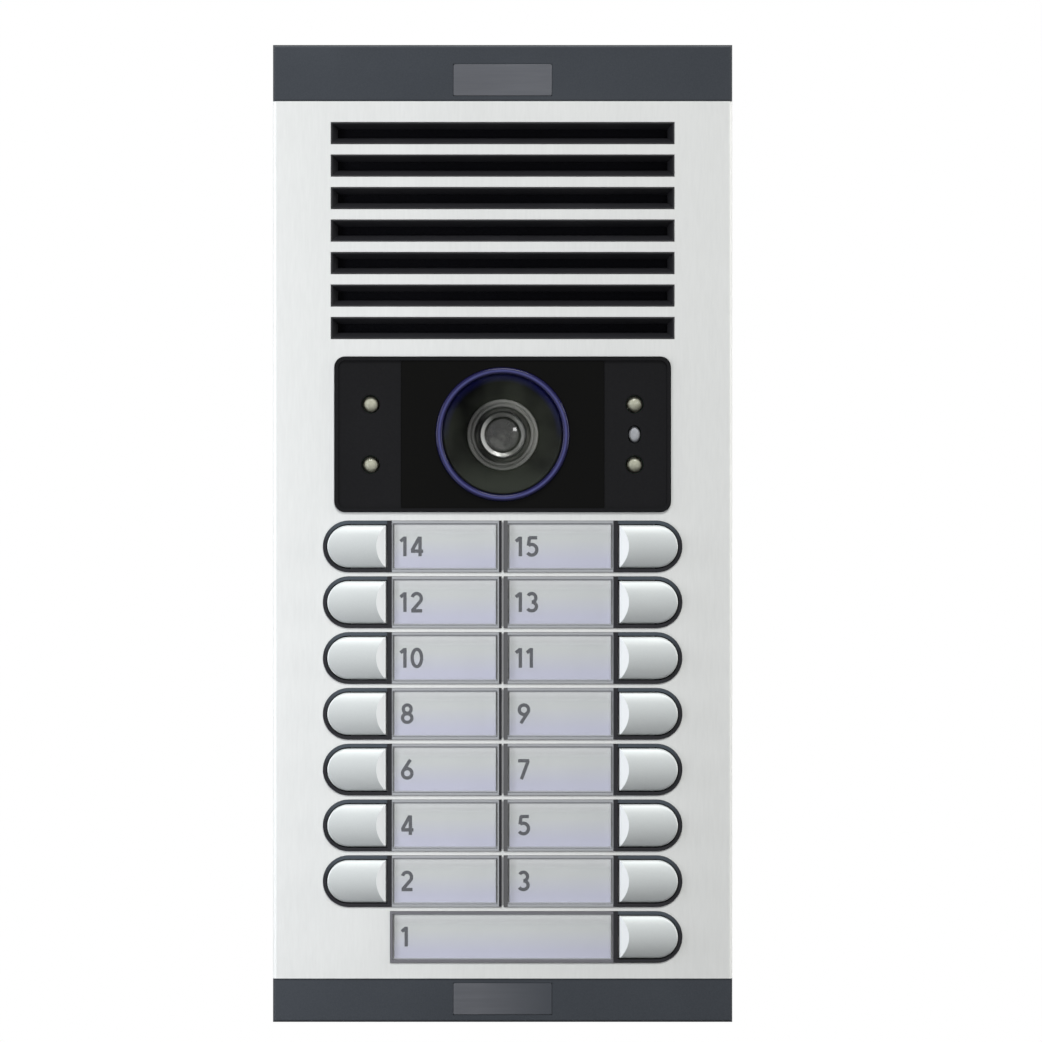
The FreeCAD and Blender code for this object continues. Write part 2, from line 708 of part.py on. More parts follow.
def face_profile():
    """The extruded front: a channel section with screw channels and ports along it."""
    piece = Piece("face_profile")
    drawing = piece.across(profile_bottom)
    lip = half_width - S.rear_lip_width
    lip_front = S.gasket_wall + S.rear_lip_wall
    right = [
        (half_width, front), (half_width, S.gasket_wall), (lip, S.gasket_wall),
        (lip, lip_front), (inner_width, lip_front), (inner_width, face_back),
    ]
    left = [(-x, level) for x, level in reversed(right)]
    outline(drawing, section(right + left))
    piece.pad(drawing, profile_length)

    ribs = piece.across(profile_bottom)
    for side in (1, -1):
        for near in (channel_near - S.channel_rib, channel_near + S.channel_gap):
            rectangle(ribs, side * near, side * (near + S.channel_rib), -face_back, -plate_back)
    piece.pad(ribs, profile_length)

    ports = piece.across(profile_bottom)
    for side in (1, -1):
        block(ports, side * port_x, -S.port_level, S.port_width)
        block(ports, side * port_x, -S.port_level, S.port_bore)
    piece.pad(ports, profile_length)

    def long_front_edge(edge):
        box = edge.BoundBox
        at_front = abs(box.YMin + front.value) < NEAR and box.YLength < NEAR
        return at_front and abs(abs(box.XMin) - half_width.value) < NEAR and box.XLength < NEAR

    piece.round_edges(S.long_edge_round, long_front_edge)

    slot = piece.front(front)
    rectangle(
        slot, -louvre_half, louvre_half,
        bottom_louvre - S.louvre_height / 2, bottom_louvre + S.louvre_height / 2,
    )
    cut = piece.cut(slot, S.face_wall)
    piece.repeat([cut], "Z_Axis", S.louvre_pitch, S.louvre_count)

    window = piece.front(front)
    bind(window, "AttachmentOffset.Base.y", camera_z)
    rounded_rectangle(window, window_half, S.window_height / 2, S.window_corner)
    piece.cut(window, S.face_wall)

    openings = piece.front(front)
    for side in (1, -1):
        button_outline(openings, side, opening_inner, opening_outer, S.opening_height, lowest_pair)
    cut = piece.cut(openings, S.face_wall)
    piece.repeat([cut], "Z_Axis", S.row_pitch, S.pair_rows)

    long_opening = piece.front(front)
    button_outline(
        long_opening, 1, -(long_collar_end + S.module_fit), opening_outer,
        S.opening_height, bottom_row,
    )
    piece.cut(long_opening, S.face_wall)


def louvre_grille():
    """The moulding behind the slots: a sloping hopper fills each of them."""
    piece = Piece("louvre_grille")
    plate = piece.front(plate_back)
    rectangle(
        plate, -plate_half, plate_half,
        upper_split + S.module_gap / 2, profile_top - S.end_gap,
    )
    piece.pad(plate, S.plate_wall)

    half_wide = louvre_half - S.module_fit
    half_tall = S.louvre_height / 2 - S.module_fit
    raised = piece.front(face_back)
    rectangle(raised, -half_wide, half_wide, bottom_louvre - half_tall, bottom_louvre + half_tall)
    pad = piece.pad(raised, S.face_wall)
    piece.repeat([pad], "Z_Axis", S.louvre_pitch, S.louvre_count)

    throat = piece.front(front)
    inset = S.hopper_rim + S.hopper_slope
    block(throat, 0, bottom_louvre, 2 * (half_wide - inset), 2 * (half_tall - inset))
    cut = piece.cut(throat)
    piece.repeat([cut], "Z_Axis", S.louvre_pitch, S.louvre_count)

    def throat_edge(edge):
        box = edge.BoundBox
        at_front = abs(box.YMin + front.value) < NEAR and box.YLength < NEAR
        return at_front and max(abs(box.XMin), abs(box.XMax)) < (half_wide - inset).value + NEAR

    piece.bevel_edges(throat_edge, S.hopper_depth, S.hopper_slope)


def splash_membrane():
    piece = Piece("splash_membrane")
    sheet = piece.front(membrane_back)
    rectangle(
        sheet, -plate_half, plate_half,
        upper_split + S.module_gap / 2, profile_top - S.end_gap,
    )
    piece.pad(sheet, S.membrane_wall)


def speaker_mount():
    """The plate that presses membrane and grille to the face and holds speaker and microphone."""
    piece = Piece("speaker_mount")
    plate = piece.front(ear_back)
    rectangle(
        plate, -plate_half, plate_half,
        upper_split + S.module_gap / 2, profile_top - S.end_gap,
    )
    piece.pad(plate, S.ear_wall - S.membrane_wall)
    ears(piece, [speaker_z])

    well = piece.front(ear_back - S.speaker_well_depth)
    well_bore = S.speaker_width + 2 * S.speaker_fit
    block(well, 0, speaker_z, well_bore + 2 * S.speaker_well_wall)
    block(well, 0, speaker_z, well_bore)
    piece.pad(well, S.speaker_well_depth)
    hole = piece.front(plate_back)
    circle(hole, 0, speaker_z, S.speaker_hole)
    block(hole, S.mic_x, microphone_z, S.mic_inlet)
    piece.cut(hole, S.ear_wall)
    cup = piece.front(ear_back - S.mic_cup_depth)
    cup_bore = S.mic_boot_width + 2 * S.mic_fit
    block(cup, S.mic_x, microphone_z, cup_bore + 2 * S.mic_cup_wall)
    block(cup, S.mic_x, microphone_z, cup_bore)
    piece.pad(cup, S.mic_cup_depth)


def speaker():
    """Loudspeaker: a sheet metal frame with its bridge, the magnet on it, and the diaphragm."""
    frame = Piece("speaker_basket")
    rim = frame.front(rim_back)
    block(rim, 0, 0, S.speaker_width)
    circle(rim, 0, 0, S.basket_mouth)
    frame.pad(rim, S.basket_wall)
    top = S.speaker_width / 2
    foot = top - S.strut_lean
    inside = basket_back + S.basket_wall
    bridge = frame.across(-S.strut_width / 2)
    right = [
        (foot, basket_back), (top, rim_back), (top - S.strut_wall, rim_back),
        (foot - S.strut_wall, inside),
    ]
    left = [(-x, level) for x, level in reversed(right)]
    outline(bridge, section(right + left))
    frame.pad(bridge, S.strut_width)
    frame.place(speaker_z)

    magnet = Piece("speaker_magnet")
    drawing = magnet.front(basket_back - S.magnet_length)
    circle(drawing, 0, speaker_z, S.magnet_radius)
    magnet.pad(drawing, S.magnet_length)

    diaphragm = Piece("speaker_diaphragm")
    drawing = diaphragm.front(ear_back)
    circle(drawing, 0, speaker_z, S.diaphragm_radius)
    diaphragm.pad(drawing, S.diaphragm_wall)


def microphone():
    """The capsule in its rubber boot, both in the cup of the speaker mount."""
    boot = Piece("mic_boot")
    sleeve = boot.front(ear_back - S.mic_cup_depth)
    block(sleeve, S.mic_x, microphone_z, S.mic_boot_width)
    circle(sleeve, S.mic_x, microphone_z, S.mic_radius + S.mic_fit)
    boot.pad(sleeve, S.mic_cup_depth)
    capsule = Piece("microphone")
    can = capsule.front(ear_back - S.mic_length)
    circle(can, S.mic_x, microphone_z, S.mic_radius)
    capsule.pad(can, S.mic_length)


def camera_bezel():
    """The black frame of the camera window, hollow behind its two sides."""
    piece = Piece("camera_bezel")
    plate = piece.front(plate_back)
    rectangle(
        plate, -plate_half, plate_half,
        lower_split + S.module_gap / 2 - camera_z, upper_split - S.module_gap / 2 - camera_z,
    )
    piece.pad(plate, S.plate_wall)
    half_wide = window_half - S.module_fit
    half_tall = S.window_height / 2 - S.module_fit
    raised = piece.front(face_back)
    rounded_rectangle(raised, half_wide, half_tall, S.window_corner - S.module_fit)
    piece.pad(raised, S.face_wall + S.bezel_proud)
    field = piece.front(bezel_front)
    field_half = half_wide - S.bezel_rim
    field_tall = half_tall - S.bezel_rim
    field_corner = S.window_corner - S.module_fit - S.bezel_rim
    rounded_rectangle(field, field_half, field_tall, field_corner)
    piece.cut(field, S.bezel_step)
    cover_seat = piece.front(bezel_field)
    rectangle(cover_seat, -S.cover_half_width, S.cover_half_width, -field_tall, field_tall)
    piece.cut(cover_seat, S.cover_wall - S.cover_proud)

    skin_back = bezel_field - S.bezel_skin
    hollow = piece.front(skin_back)
    reach = half_tall - S.bezel_skin
    for side in (1, -1):
        rectangle(hollow, side * S.hollow_start, side * (half_wide - S.bezel_skin), -reach, reach)
    piece.cut(hollow, skin_back - plate_back)
    holes = piece.front(bezel_front)
    circle(holes, 0, 0, S.ring_radius + S.ring_fit)
    for side in (1, -1):
        for up in (1, -1):
            circle(holes, side * S.led_x, up * S.led_z, S.led_well)
    upright_oval(
        holes, S.led_x,
        S.light_sensor_width + 2 * S.module_fit, S.light_sensor_height + 2 * S.module_fit,
    )
    piece.cut(holes, bezel_front - plate_back)

    shoulders = piece.front(led_board_front)
    pegs = piece.front(led_board_front - S.board_wall - S.peg_end)
    for side in (1, -1):
        for up in (1, -1):
            block(shoulders, side * S.led_x, up * S.led_peg_z, S.peg_shoulder)
            block(pegs, side * S.led_x, up * S.led_peg_z, S.peg_width)
    piece.pad(shoulders, skin_back - led_board_front)
    piece.pad(pegs, S.board_wall + S.peg_end)
    levels = (camera_board_front, camera_board_back)
    for side in (1, -1):
        for middle in (S.camera_clip_z, -S.camera_clip_z):
            clip(piece, side, S.camera_board_width / 2, levels, middle - S.clip_height / 2)
    ears(piece, [Size.of(0)], S.ear_root)
    piece.place(camera_z)


def lens_cover_plate():
    piece = Piece("lens_cover_plate")
    plate = piece.front(cover_front - S.cover_wall)
    half_tall = S.window_height / 2 - S.module_fit - S.bezel_rim - S.module_fit
    half_wide = S.cover_half_width - S.module_fit
    rectangle(plate, -half_wide, half_wide, -half_tall, half_tall)
    circle(plate, 0, 0, S.ring_radius + S.ring_fit)
    piece.pad(plate, S.cover_wall)
    piece.place(camera_z)


def lens_ring():
    """The blue ring, a light guide seated in the bezel."""
    turned(
        "lens_ring",
        [
            (ring_inner, ring_back), (S.ring_radius, ring_back),
            (S.ring_radius, ring_front), (ring_inner, ring_front),
        ],
        camera_z,
    )


def lens_funnel():
    """The black cone that narrows from the ring to the lens."""
    narrow = S.holder_radius + S.ring_fit
    turned(
        "lens_funnel",
        [
            (tube_radius, funnel_front), (tube_radius - S.funnel_rim, funnel_front),
            (narrow, funnel_end), (tube_radius, funnel_end),
        ],
        camera_z,
    )


def lens_window():
    turned(
        "lens_window",
        [
            (0, funnel_front), (tube_radius, funnel_front),
            (tube_radius, funnel_front + S.cover_glass_wall), (0, funnel_front + S.cover_glass_wall),
        ],
        camera_z,
    )


def lens():
    """Holder, barrel and front glass, all about the lens axis."""
    holder = Piece("lens_holder")
    bore = S.barrel_radius + S.barrel_fit
    foot = holder.front(camera_board_front)
    block(foot, 0, 0, S.holder_base)
    circle(foot, 0, 0, bore)
    holder.pad(foot, S.holder_base_wall)
    tube_back = camera_board_front + S.holder_base_wall
    tube = holder.front(tube_back)
    circle(tube, 0, 0, S.holder_radius)
    circle(tube, 0, 0, bore)
    holder.pad(tube, holder_front - tube_back)
    holder.place(camera_z)

    seat = S.glass_radius + S.barrel_fit
    barrel_back = barrel_front - S.barrel_length
    turned(
        "lens_barrel",
        [
            (0, barrel_back), (S.barrel_radius, barrel_back), (S.barrel_radius, barrel_front),
            (seat, barrel_front), (seat, glass_back), (0, glass_back),
        ],
        camera_z,
    )
    glass = Piece("lens_glass")
    drawing = glass.front(glass_back)
    circle(drawing, 0, 0, S.glass_radius)
    glass.pad(drawing, S.glass_wall)
    glass.place(camera_z)


def camera_electronics():
    """Camera board with its sensor, LED boards with their LEDs, and the light sensor's pipe."""
    board = Piece("camera_board")
    drawing = board.front(camera_board_back)
    block(drawing, 0, 0, S.camera_board_width, S.camera_board_height)
    board.pad(drawing, S.board_wall)
    board.place(camera_z)

    sensor = Piece("image_sensor")
    drawing = sensor.front(camera_board_front)
    block(drawing, 0, 0, S.sensor_width)
    sensor.pad(drawing, S.sensor_wall)
    sensor.place(camera_z)

    led_boards = Piece("led_boards")
    drawing = led_boards.front(led_board_front - S.board_wall)
    leds = Piece("illumination_leds")
    lamps = leds.front(led_board_front)
    for side in (1, -1):
        middle = side * S.led_x
        block(drawing, middle, 0, S.led_board_width, S.led_board_height)
        for up in (1, -1):
            block(drawing, middle, up * S.led_peg_z, S.peg_width + 2 * S.module_fit)
            circle(lamps, middle, up * S.led_z, S.led_radius)
    led_boards.pad(drawing, S.board_wall)
    led_boards.place(camera_z)
    leds.pad(lamps, S.led_length)
    leds.place(camera_z)

    pipe = Piece("light_sensor")
    drawing = pipe.front(led_board_front)
    upright_oval(drawing, S.led_x, S.light_sensor_width, S.light_sensor_height)
    pipe.pad(drawing, S.led_length)
    pipe.place(camera_z)


def name_rectangles(drawing, inner, outer, height, sides=(1, -1)):
    """The lowest pair of name windows, grown or shrunk as inner and outer say."""
    for side in sides:
        low = lowest_pair - height / 2
        rectangle(drawing, side * inner, side * outer, low, low + height)


def button_carrier():
    """The moulding behind the buttons: collars, button apertures and window rebates."""
    piece = Piece("button_carrier")
    plate = piece.front(plate_back)
    rectangle(
        plate, -plate_half, plate_half,
        profile_bottom + S.end_gap, lower_split - S.module_gap / 2,
    )
    piece.pad(plate, S.plate_wall)
    collar_rise = S.face_wall + S.collar_proud

    pair = piece.front(face_back)
    for side in (1, -1):
        button_outline(pair, side, collar_inner, collar_outer, collar_height, lowest_pair)
    pad = piece.pad(pair, collar_rise)
    piece.repeat([pad], "Z_Axis", S.row_pitch, S.pair_rows)
    single = piece.front(face_back)
    button_outline(single, 1, -long_collar_end, collar_outer, collar_height, bottom_row)
    piece.pad(single, collar_rise)

    depth = S.plate_wall + collar_rise
    apertures = piece.front(front + S.collar_proud)
    for side in (1, -1):
        button_outline(
            apertures, side, aperture_inner, aperture_outer, aperture_height, lowest_pair
        )
    name_rectangles(apertures, window_inner, window_outer, name_height)
    cut = piece.cut(apertures, depth)
    rebates = piece.front(rebate_front)
    grow = S.lens_flange_reach
    name_rectangles(rebates, window_inner - grow, window_outer + grow, name_height + 2 * grow)
    rebate_cut = piece.cut(rebates, rebate_front - plate_back)
    piece.repeat([cut, rebate_cut], "Z_Axis", S.row_pitch, S.pair_rows)

    single_apertures = piece.front(front + S.collar_proud)
    button_outline(
        single_apertures, 1, aperture_inner, aperture_outer, aperture_height, bottom_row
    )
    half = name_height / 2
    rectangle(single_apertures, -window_outer, window_outer, bottom_row - half, bottom_row + half)
    piece.cut(single_apertures, depth)
    single_rebate = piece.front(rebate_front)
    reach = window_outer + grow
    half = half + grow
    rectangle(single_rebate, -reach, reach, bottom_row - half, bottom_row + half)
    piece.cut(single_rebate, rebate_front - plate_back)

    levels = (board_front, board_back)
    low = bottom_row + S.clip_rise - S.clip_height / 2
    pads = [clip(piece, side, board_half, levels, low) for side in (1, -1)]
    piece.repeat(pads, "Z_Axis", S.clip_pitch, S.clip_count)
    ears(piece, carrier_ears, S.ear_root)


def button_cap(label, side, height):
    """One call button: crowned, round at its outer end, with a sloping facet at its inner end."""
    piece = Piece(label)
    body = piece.front(flange_back)
    button_outline(body, side, cap_inner, cap_outer, cap_height, Size.of(0))
    piece.pad(body, cap_peak - flange_back)

    half = cap_height / 2
    margin = S.collar_wall
    crown_radius = (half * half / S.cap_crown + S.cap_crown) / 2
    above = cap_peak + margin
    over = piece.side(0)
    outline(
        over,
        [
            (-cap_edge, -half - margin), (-cap_edge, -half), (-cap_edge, half),
            (-cap_edge, half + margin), (-above, half + margin), (-above, -half - margin),
        ],
        {1: ((crown_radius - cap_peak, Size.of(0)), -1)},
    )
    piece.cut(over)
    facet = piece.across(0)
    foot = cap_edge - S.facet_drop
    outline(facet, section([
        (side * cap_inner, foot), (side * (cap_inner + S.facet_reach), cap_peak),
        (side * (cap_inner + S.facet_reach), above), (side * (cap_inner - margin), above),
        (side * (cap_inner - margin), foot),
    ]))
    piece.cut(facet)

    flange = piece.front(flange_back)
    flange_half = aperture_height / 2 + S.flange_reach
    flange_inner = aperture_inner - S.flange_reach
    flange_outer = cap_outer - half - S.flange_inset
    rectangle(flange, side * flange_inner, side * flange_outer, -flange_half, flange_half)
    piece.pad(flange, S.flange_wall)
    hollow = piece.front(flange_back + S.cap_hollow)
    inside = half - S.cap_wall
    rectangle(hollow, side * (cap_inner + S.cap_wall), side * (cap_outer - half), -inside, inside)
    piece.cut(hollow, S.cap_hollow)
    plunger = piece.front(dome_top)
    block(plunger, side * button_x, 0, S.plunger_width)
    piece.pad(plunger, S.plunger_reach + S.cap_hollow)
    piece.place(height)


def button_caps():
    """Call 1 is alone at the bottom right; above it each row has two, the even call at the left."""
    button_cap("button_cap_01", 1, bottom_row)
    for row in range(1, int(S.pair_rows.value) + 1):
        height = bottom_row + S.row_pitch * row
        button_cap(f"button_cap_{2 * row:02d}", -1, height)
        button_cap(f"button_cap_{2 * row + 1:02d}", 1, height)


def name_windows():
    """Clear windows, held by a flange in the carrier's rebate, hollow behind for the cards."""
    fit = S.lens_fit
    side_wall = S.lens_side
    reach = S.lens_flange_reach - 2 * fit
    depth = card_front - plate_back

    for label, side in (("name_windows_left", -1), ("name_windows_right", 1)):
        piece = Piece(label)
        flange = piece.front(plate_back)
        inner = window_inner + fit
        outer = window_outer - fit
        height = name_height - 2 * fit
        name_rectangles(flange, inner - reach, outer + reach, height + 2 * reach, (side,))
        flange_pad = piece.pad(flange, S.lens_flange_wall)
        pane = piece.front(rebate_front)
        name_rectangles(pane, inner, outer, height, (side,))
        pane_pad = piece.pad(pane, lens_front - rebate_front)
        tray = piece.front(card_front)
        name_rectangles(
            tray, inner + side_wall, outer - side_wall, height - 2 * side_wall, (side,)
        )
        tray_cut = piece.cut(tray, depth)
        piece.repeat([flange_pad, pane_pad, tray_cut], "Z_Axis", S.row_pitch, S.pair_rows)

    piece = Piece("name_window_long")
    half = name_height / 2 - fit
    outer = window_outer - fit
    flange = piece.front(plate_back)
    rectangle(flange, -outer - reach, outer + reach, bottom_row - half - reach, bottom_row + half + reach)
    piece.pad(flange, S.lens_flange_wall)
    pane = piece.front(rebate_front)
    rectangle(pane, -outer, outer, bottom_row - half, bottom_row + half)
    piece.pad(pane, lens_front - rebate_front)
    tray = piece.front(card_front)
    outer = outer - side_wall
    half = half - side_wall
    rectangle(tray, -outer, outer, bottom_row - half, bottom_row + half)
    piece.cut(tray, depth)


def name_cards():
    """The cards, each in the hollow behind its window and up against its front wall."""
    piece = Piece("name_cards")
    inset = S.lens_fit + S.lens_side + S.card_fit
    half = name_height / 2 - inset
    pair = piece.front(card_front - S.card_wall)
    name_rectangles(pair, window_inner + inset, window_outer - inset, 2 * half)
    pad = piece.pad(pair, S.card_wall)
    piece.repeat([pad], "Z_Axis", S.row_pitch, S.pair_rows)
    single = piece.front(card_front - S.card_wall)
    outer = window_outer - inset
    rectangle(single, -outer, outer, bottom_row - half, bottom_row + half)
    piece.pad(single, S.card_wall)


def backlight_diffuser():
    piece = Piece("backlight_diffuser")
    sheet = piece.front(plate_back - S.diffuser_wall)
    half = window_outer + S.cap_gap
    rectangle(sheet, -half, half, bottom_row - S.mat_reach, top_row + S.mat_reach)
    piece.pad(sheet, S.diffuser_wall)


def rubber_keypad():
    """The rubber mat: two strips joined at their ends, with a dome behind each button."""
    piece = Piece("rubber_keypad")
    mat = piece.front(board_front)
    outer = button_x + S.mat_strip / 2
    inner = button_x - S.mat_strip / 2
    low = bottom_row - S.mat_reach
    high = top_row + S.mat_reach
    rectangle(mat, -outer, outer, low, high)
    rectangle(mat, -inner, inner, low + S.mat_bar, high - S.mat_bar)
    piece.pad(mat, S.mat_wall)
    pair = piece.front(mat_front)
    for side in (1, -1):
        block(pair, side * button_x, lowest_pair, S.dome_width)
    pad = piece.pad(pair, dome_top - mat_front)
    piece.repeat([pad], "Z_Axis", S.row_pitch, S.pair_rows)
    single = piece.front(mat_front)
    block(single, button_x, bottom_row, S.dome_width)
    piece.pad(single, dome_top - mat_front)

    def dome_edge(edge):
        box = edge.BoundBox
        return abs(box.YMin + dome_top.value) < NEAR and box.YLength < NEAR

    piece.bevel_edges(dome_edge, S.dome_bevel)


def main_board():
    board = Piece("main_board")
    drawing = board.front(board_back)
    rectangle(drawing, -board_half, board_half, bottom_row - S.mat_reach, top_row + S.mat_reach)
    board.pad(drawing, S.board_wall)

    lights = Piece("backlight_leds")
    drawing = lights.front(board_front)
    middle = (window_inner + window_outer) / 2
    for side in (1, -1):
        block(drawing, side * middle, bottom_row, S.light_width, S.light_height)
    pad = lights.pad(drawing, S.light_wall)
    lights.repeat([pad], "Z_Axis", S.row_pitch, S.pair_rows + 1)

    terminals = Piece("terminal_block")
    drawing = terminals.front(board_back - S.terminal_depth)
    block(drawing, 0, terminal_z, S.terminal_width, S.terminal_height)
    terminals.pad(drawing, S.terminal_depth)
    mouth = terminals.across(terminal_z - S.terminal_height / 2 + S.terminal_mouth_depth)
    first = -(S.terminal_count - 1) * S.terminal_pitch / 2
    block(mouth, first, S.terminal_depth / 2 - board_back, S.terminal_mouth)
    cut = terminals.cut(mouth, S.terminal_mouth_depth)
    terminals.repeat([cut], "X_Axis", S.terminal_pitch, S.terminal_count)


def screws(piece, sketch, spots, head, shank):
    """Hexagon head screws. head and shank hold where each starts, its length and its size."""
    head_start, head_length, head_width = head
    shank_start, shank_length, radius = shank
    heads = sketch(head_start)
    shanks = sketch(shank_start)
    for x, y in spots:
        hexagon(heads, x, y, head_width)
        circle(shanks, x, y, radius)
    piece.pad(heads, head_length)
    piece.pad(shanks, shank_length)


def module_screws():
    """Screws through the modules' ears into the channels of the profile."""
    piece = Piece("module_screws")
    heights = [speaker_z, camera_z, *carrier_ears]
    screws(
        piece, piece.front, [(side * channel_x, height) for side in (1, -1) for height in heights],
        (ear_back - S.head_wall, S.head_wall, S.head_width),
        (ear_back, S.ear_wall + S.plate_wall, S.screw_radius),
    )


def end_cap(label, low, high, inlay_z, outer_end, is_top):
    """An end cap: hollow towards the profile, with solid sides for its two screws."""
    piece = Piece(label)
    height = high - low
    solid = piece.across(low)
    rectangle(solid, -half_width, half_width, -front, -S.gasket_wall)
    piece.pad(solid, height)

    def front_edge(edge):
        box = edge.BoundBox
        at_front = abs(box.YMin + front.value) < NEAR and box.YLength < NEAR
        upright = box.XLength < NEAR
        outer = abs(box.ZMin - outer_end.value) < NEAR and box.ZLength < NEAR
        return at_front and (upright or outer)

    piece.round_edges(S.cap_edge_round, front_edge)
    hollow = piece.across(high - S.end_wall if is_top else high)
    half = half_width - S.end_pillar
    rectangle(hollow, -half, half, S.end_wall - front, -(S.gasket_wall + S.end_rear_wall))
    piece.cut(hollow, height - S.end_wall)

    heads = piece.across(high if is_top else high - S.end_seat)
    holes = piece.across(high)
    for side in (1, -1):
        block(heads, side * port_x, -S.port_level, S.end_head_hole)
        block(holes, side * port_x, -S.port_level, S.screw_slot)
    piece.cut(heads, height - S.end_seat)
    piece.cut(holes, height)

    tongues = piece.across(low - S.tongue_reach if is_top else high)
    outer = inner_width - S.tongue_fit
    tongue_front = S.tongue_level + S.tongue_depth
    for side in (1, -1):
        rectangle(
            tongues, side * (outer - S.tongue_wall), side * outer, -tongue_front, -S.tongue_level
        )
    piece.pad(tongues, S.tongue_reach)

    recess = piece.front(front)
    fit = 2 * S.module_fit
    block(recess, 0, inlay_z, S.inlay_width + fit, S.inlay_height + fit)
    piece.cut(recess, S.inlay_wall - S.inlay_proud)
    return piece


def end_caps():
    top_inlay = profile_top + S.top_inlay_rise
    bottom_inlay = profile_bottom - S.bottom_inlay_drop
    top = end_cap("top_end_cap", profile_top, half_height, top_inlay, half_height, True)
    rib_front = S.hook_level - S.hook_fit
    rib_low = profile_top - S.back_end_gap + S.hook_fit
    rib = top.across(rib_low)
    half = S.hook_width / 2 + S.end_wall
    rectangle(rib, -half, half, -rib_front, S.hook_rib - rib_front)
    top.pad(rib, half_height - S.end_wall - rib_low)

    bottom = end_cap(
        "bottom_end_cap", -half_height, profile_bottom, bottom_inlay, -half_height, False
    )
    boss = bottom.across(S.end_wall - half_height)
    block(boss, 0, -S.lock_level, S.lock_recess_width + 2 * S.lock_boss_wall)
    bottom.pad(boss, S.lock_recess)
    recess = bottom.across(S.lock_recess - half_height)
    block(recess, 0, -S.lock_level, S.lock_recess_width)
    bottom.cut(recess, S.lock_recess)
    hole = bottom.across(S.end_wall + S.lock_recess - half_height)
    block(hole, 0, -S.lock_level, S.lock_slot)
    bottom.cut(hole, S.end_wall)

    for label, height in (("top_inlay_plate", top_inlay), ("bottom_inlay_plate", bottom_inlay)):
        plate = Piece(label)
        drawing = plate.front(front + S.inlay_proud - S.inlay_wall)
        block(drawing, 0, height, S.inlay_width, S.inlay_height)
        plate.pad(drawing, S.inlay_wall)

    piece = Piece("end_cap_screws")
    spots = [(port_x, -S.port_level), (-port_x, -S.port_level)]
    top_seat = profile_top + S.end_seat
    bottom_seat = profile_bottom - S.end_seat
    screws(
        piece, piece.across, spots, (top_seat, S.head_wall, S.head_width),
        (top_seat - S.end_screw_length, S.end_screw_length, S.screw_radius),
    )
    screws(
        piece, piece.across, spots, (bottom_seat - S.head_wall, S.head_wall, S.head_width),
        (bottom_seat, S.end_screw_length, S.screw_radius),
    )


def wall_side():
    """Wall plate with its hook and tab, gasket, cable grommet and locking screw."""
    plate = Piece("back_plate")
    plate_top = profile_top - S.back_end_gap
    plate_bottom = profile_bottom + S.back_end_gap
    half = half_width - S.rear_lip_width - S.back_gap
    drawing = plate.front(0)
    rectangle(drawing, -half, half, plate_bottom, plate_top)
    for side in (1, -1):
        for up in (1, -1):
            circle(drawing, side * S.wall_hole_x / 2, up * S.wall_hole_z / 2, S.wall_hole_radius)
    block(drawing, 0, -S.cable_drop, S.grommet_neck + 2 * S.module_fit)
    plate.pad(drawing, S.back_wall)
    hook_front = S.hook_level + S.back_wall
    hook = plate.side(-S.hook_width / 2)
    outline(hook, [
        (-S.back_wall, plate_top - S.back_wall), (-S.back_wall, plate_top),
        (-S.hook_level, plate_top), (-S.hook_level, plate_top + S.hook_height),
        (-hook_front, plate_top + S.hook_height), (-hook_front, plate_top - S.back_wall),
    ])
    plate.pad(hook, S.hook_width)
    tab = plate.front(S.back_wall)
    half_tab = S.tab_width / 2
    rectangle(tab, -half_tab, half_tab, plate_bottom, plate_bottom + S.back_wall)
    plate.pad(tab, S.tab_depth - S.back_wall)
    hole = plate.across(plate_bottom + S.back_wall)
    circle(hole, 0, -S.lock_level, S.lock_screw_radius + S.thread_fit)
    plate.cut(hole, S.back_wall)

    gasket = Piece("wall_gasket")
    drawing = gasket.front(0)
    for inset in (S.gasket_inset, S.gasket_inset + S.gasket_width):
        wide = half_width - inset
        tall = half_height - inset
        rectangle(drawing, -wide, wide, -tall, tall)
    gasket.pad(drawing, S.gasket_wall)

    grommet = Piece("cable_grommet")
    for start, length, width in (
        (Size.of(0), S.back_wall, S.grommet_neck),
        (S.back_wall, S.grommet_flange_wall, S.grommet_flange),
    ):
        drawing = grommet.front(start)
        block(drawing, 0, -S.cable_drop, width)
        circle(drawing, 0, -S.cable_drop, S.cable_bore)
        grommet.pad(drawing, length)

    piece = Piece("locking_screw")
    head_top = S.lock_recess - half_height
    screws(
        piece, piece.across, [(Size.of(0), -S.lock_level)],
        (head_top - S.lock_head_wall, S.lock_head_wall, S.lock_head_width),
        (head_top, S.lock_screw_length, S.lock_screw_radius),
    )


def write_parts():
    """Check every object and every body's shape, then write one file for each body."""
    doc.recompute()
    failed = [thing.Label for thing in doc.Objects if {"Invalid", "Error"} & set(thing.State)]
    if failed:
        raise ValueError(f"these objects failed: {failed}")
    bodies = [thing for thing in doc.Objects if thing.TypeId == "PartDesign::Body"]
    for body in bodies:
        if body.Shape.isNull() or not body.Shape.isValid() or not body.Shape.Solids:
            raise ValueError(f"{body.Label} has no valid solid")
    os.makedirs("parts", exist_ok=True)
    for body in bodies:
        body.Shape.exportStep(f"parts/{body.Label}.step")
    print(f"{len(bodies)} sub-parts written")


face_profile()
louvre_grille()
splash_membrane()
speaker_mount()
speaker()
microphone()
camera_bezel()
lens_cover_plate()
lens_ring()
lens_funnel()
lens_window()
lens()
camera_electronics()
button_carrier()
button_caps()
name_windows()
name_cards()
backlight_diffuser()
rubber_keypad()
main_board()
module_screws()
end_caps()
wall_side()
write_parts()
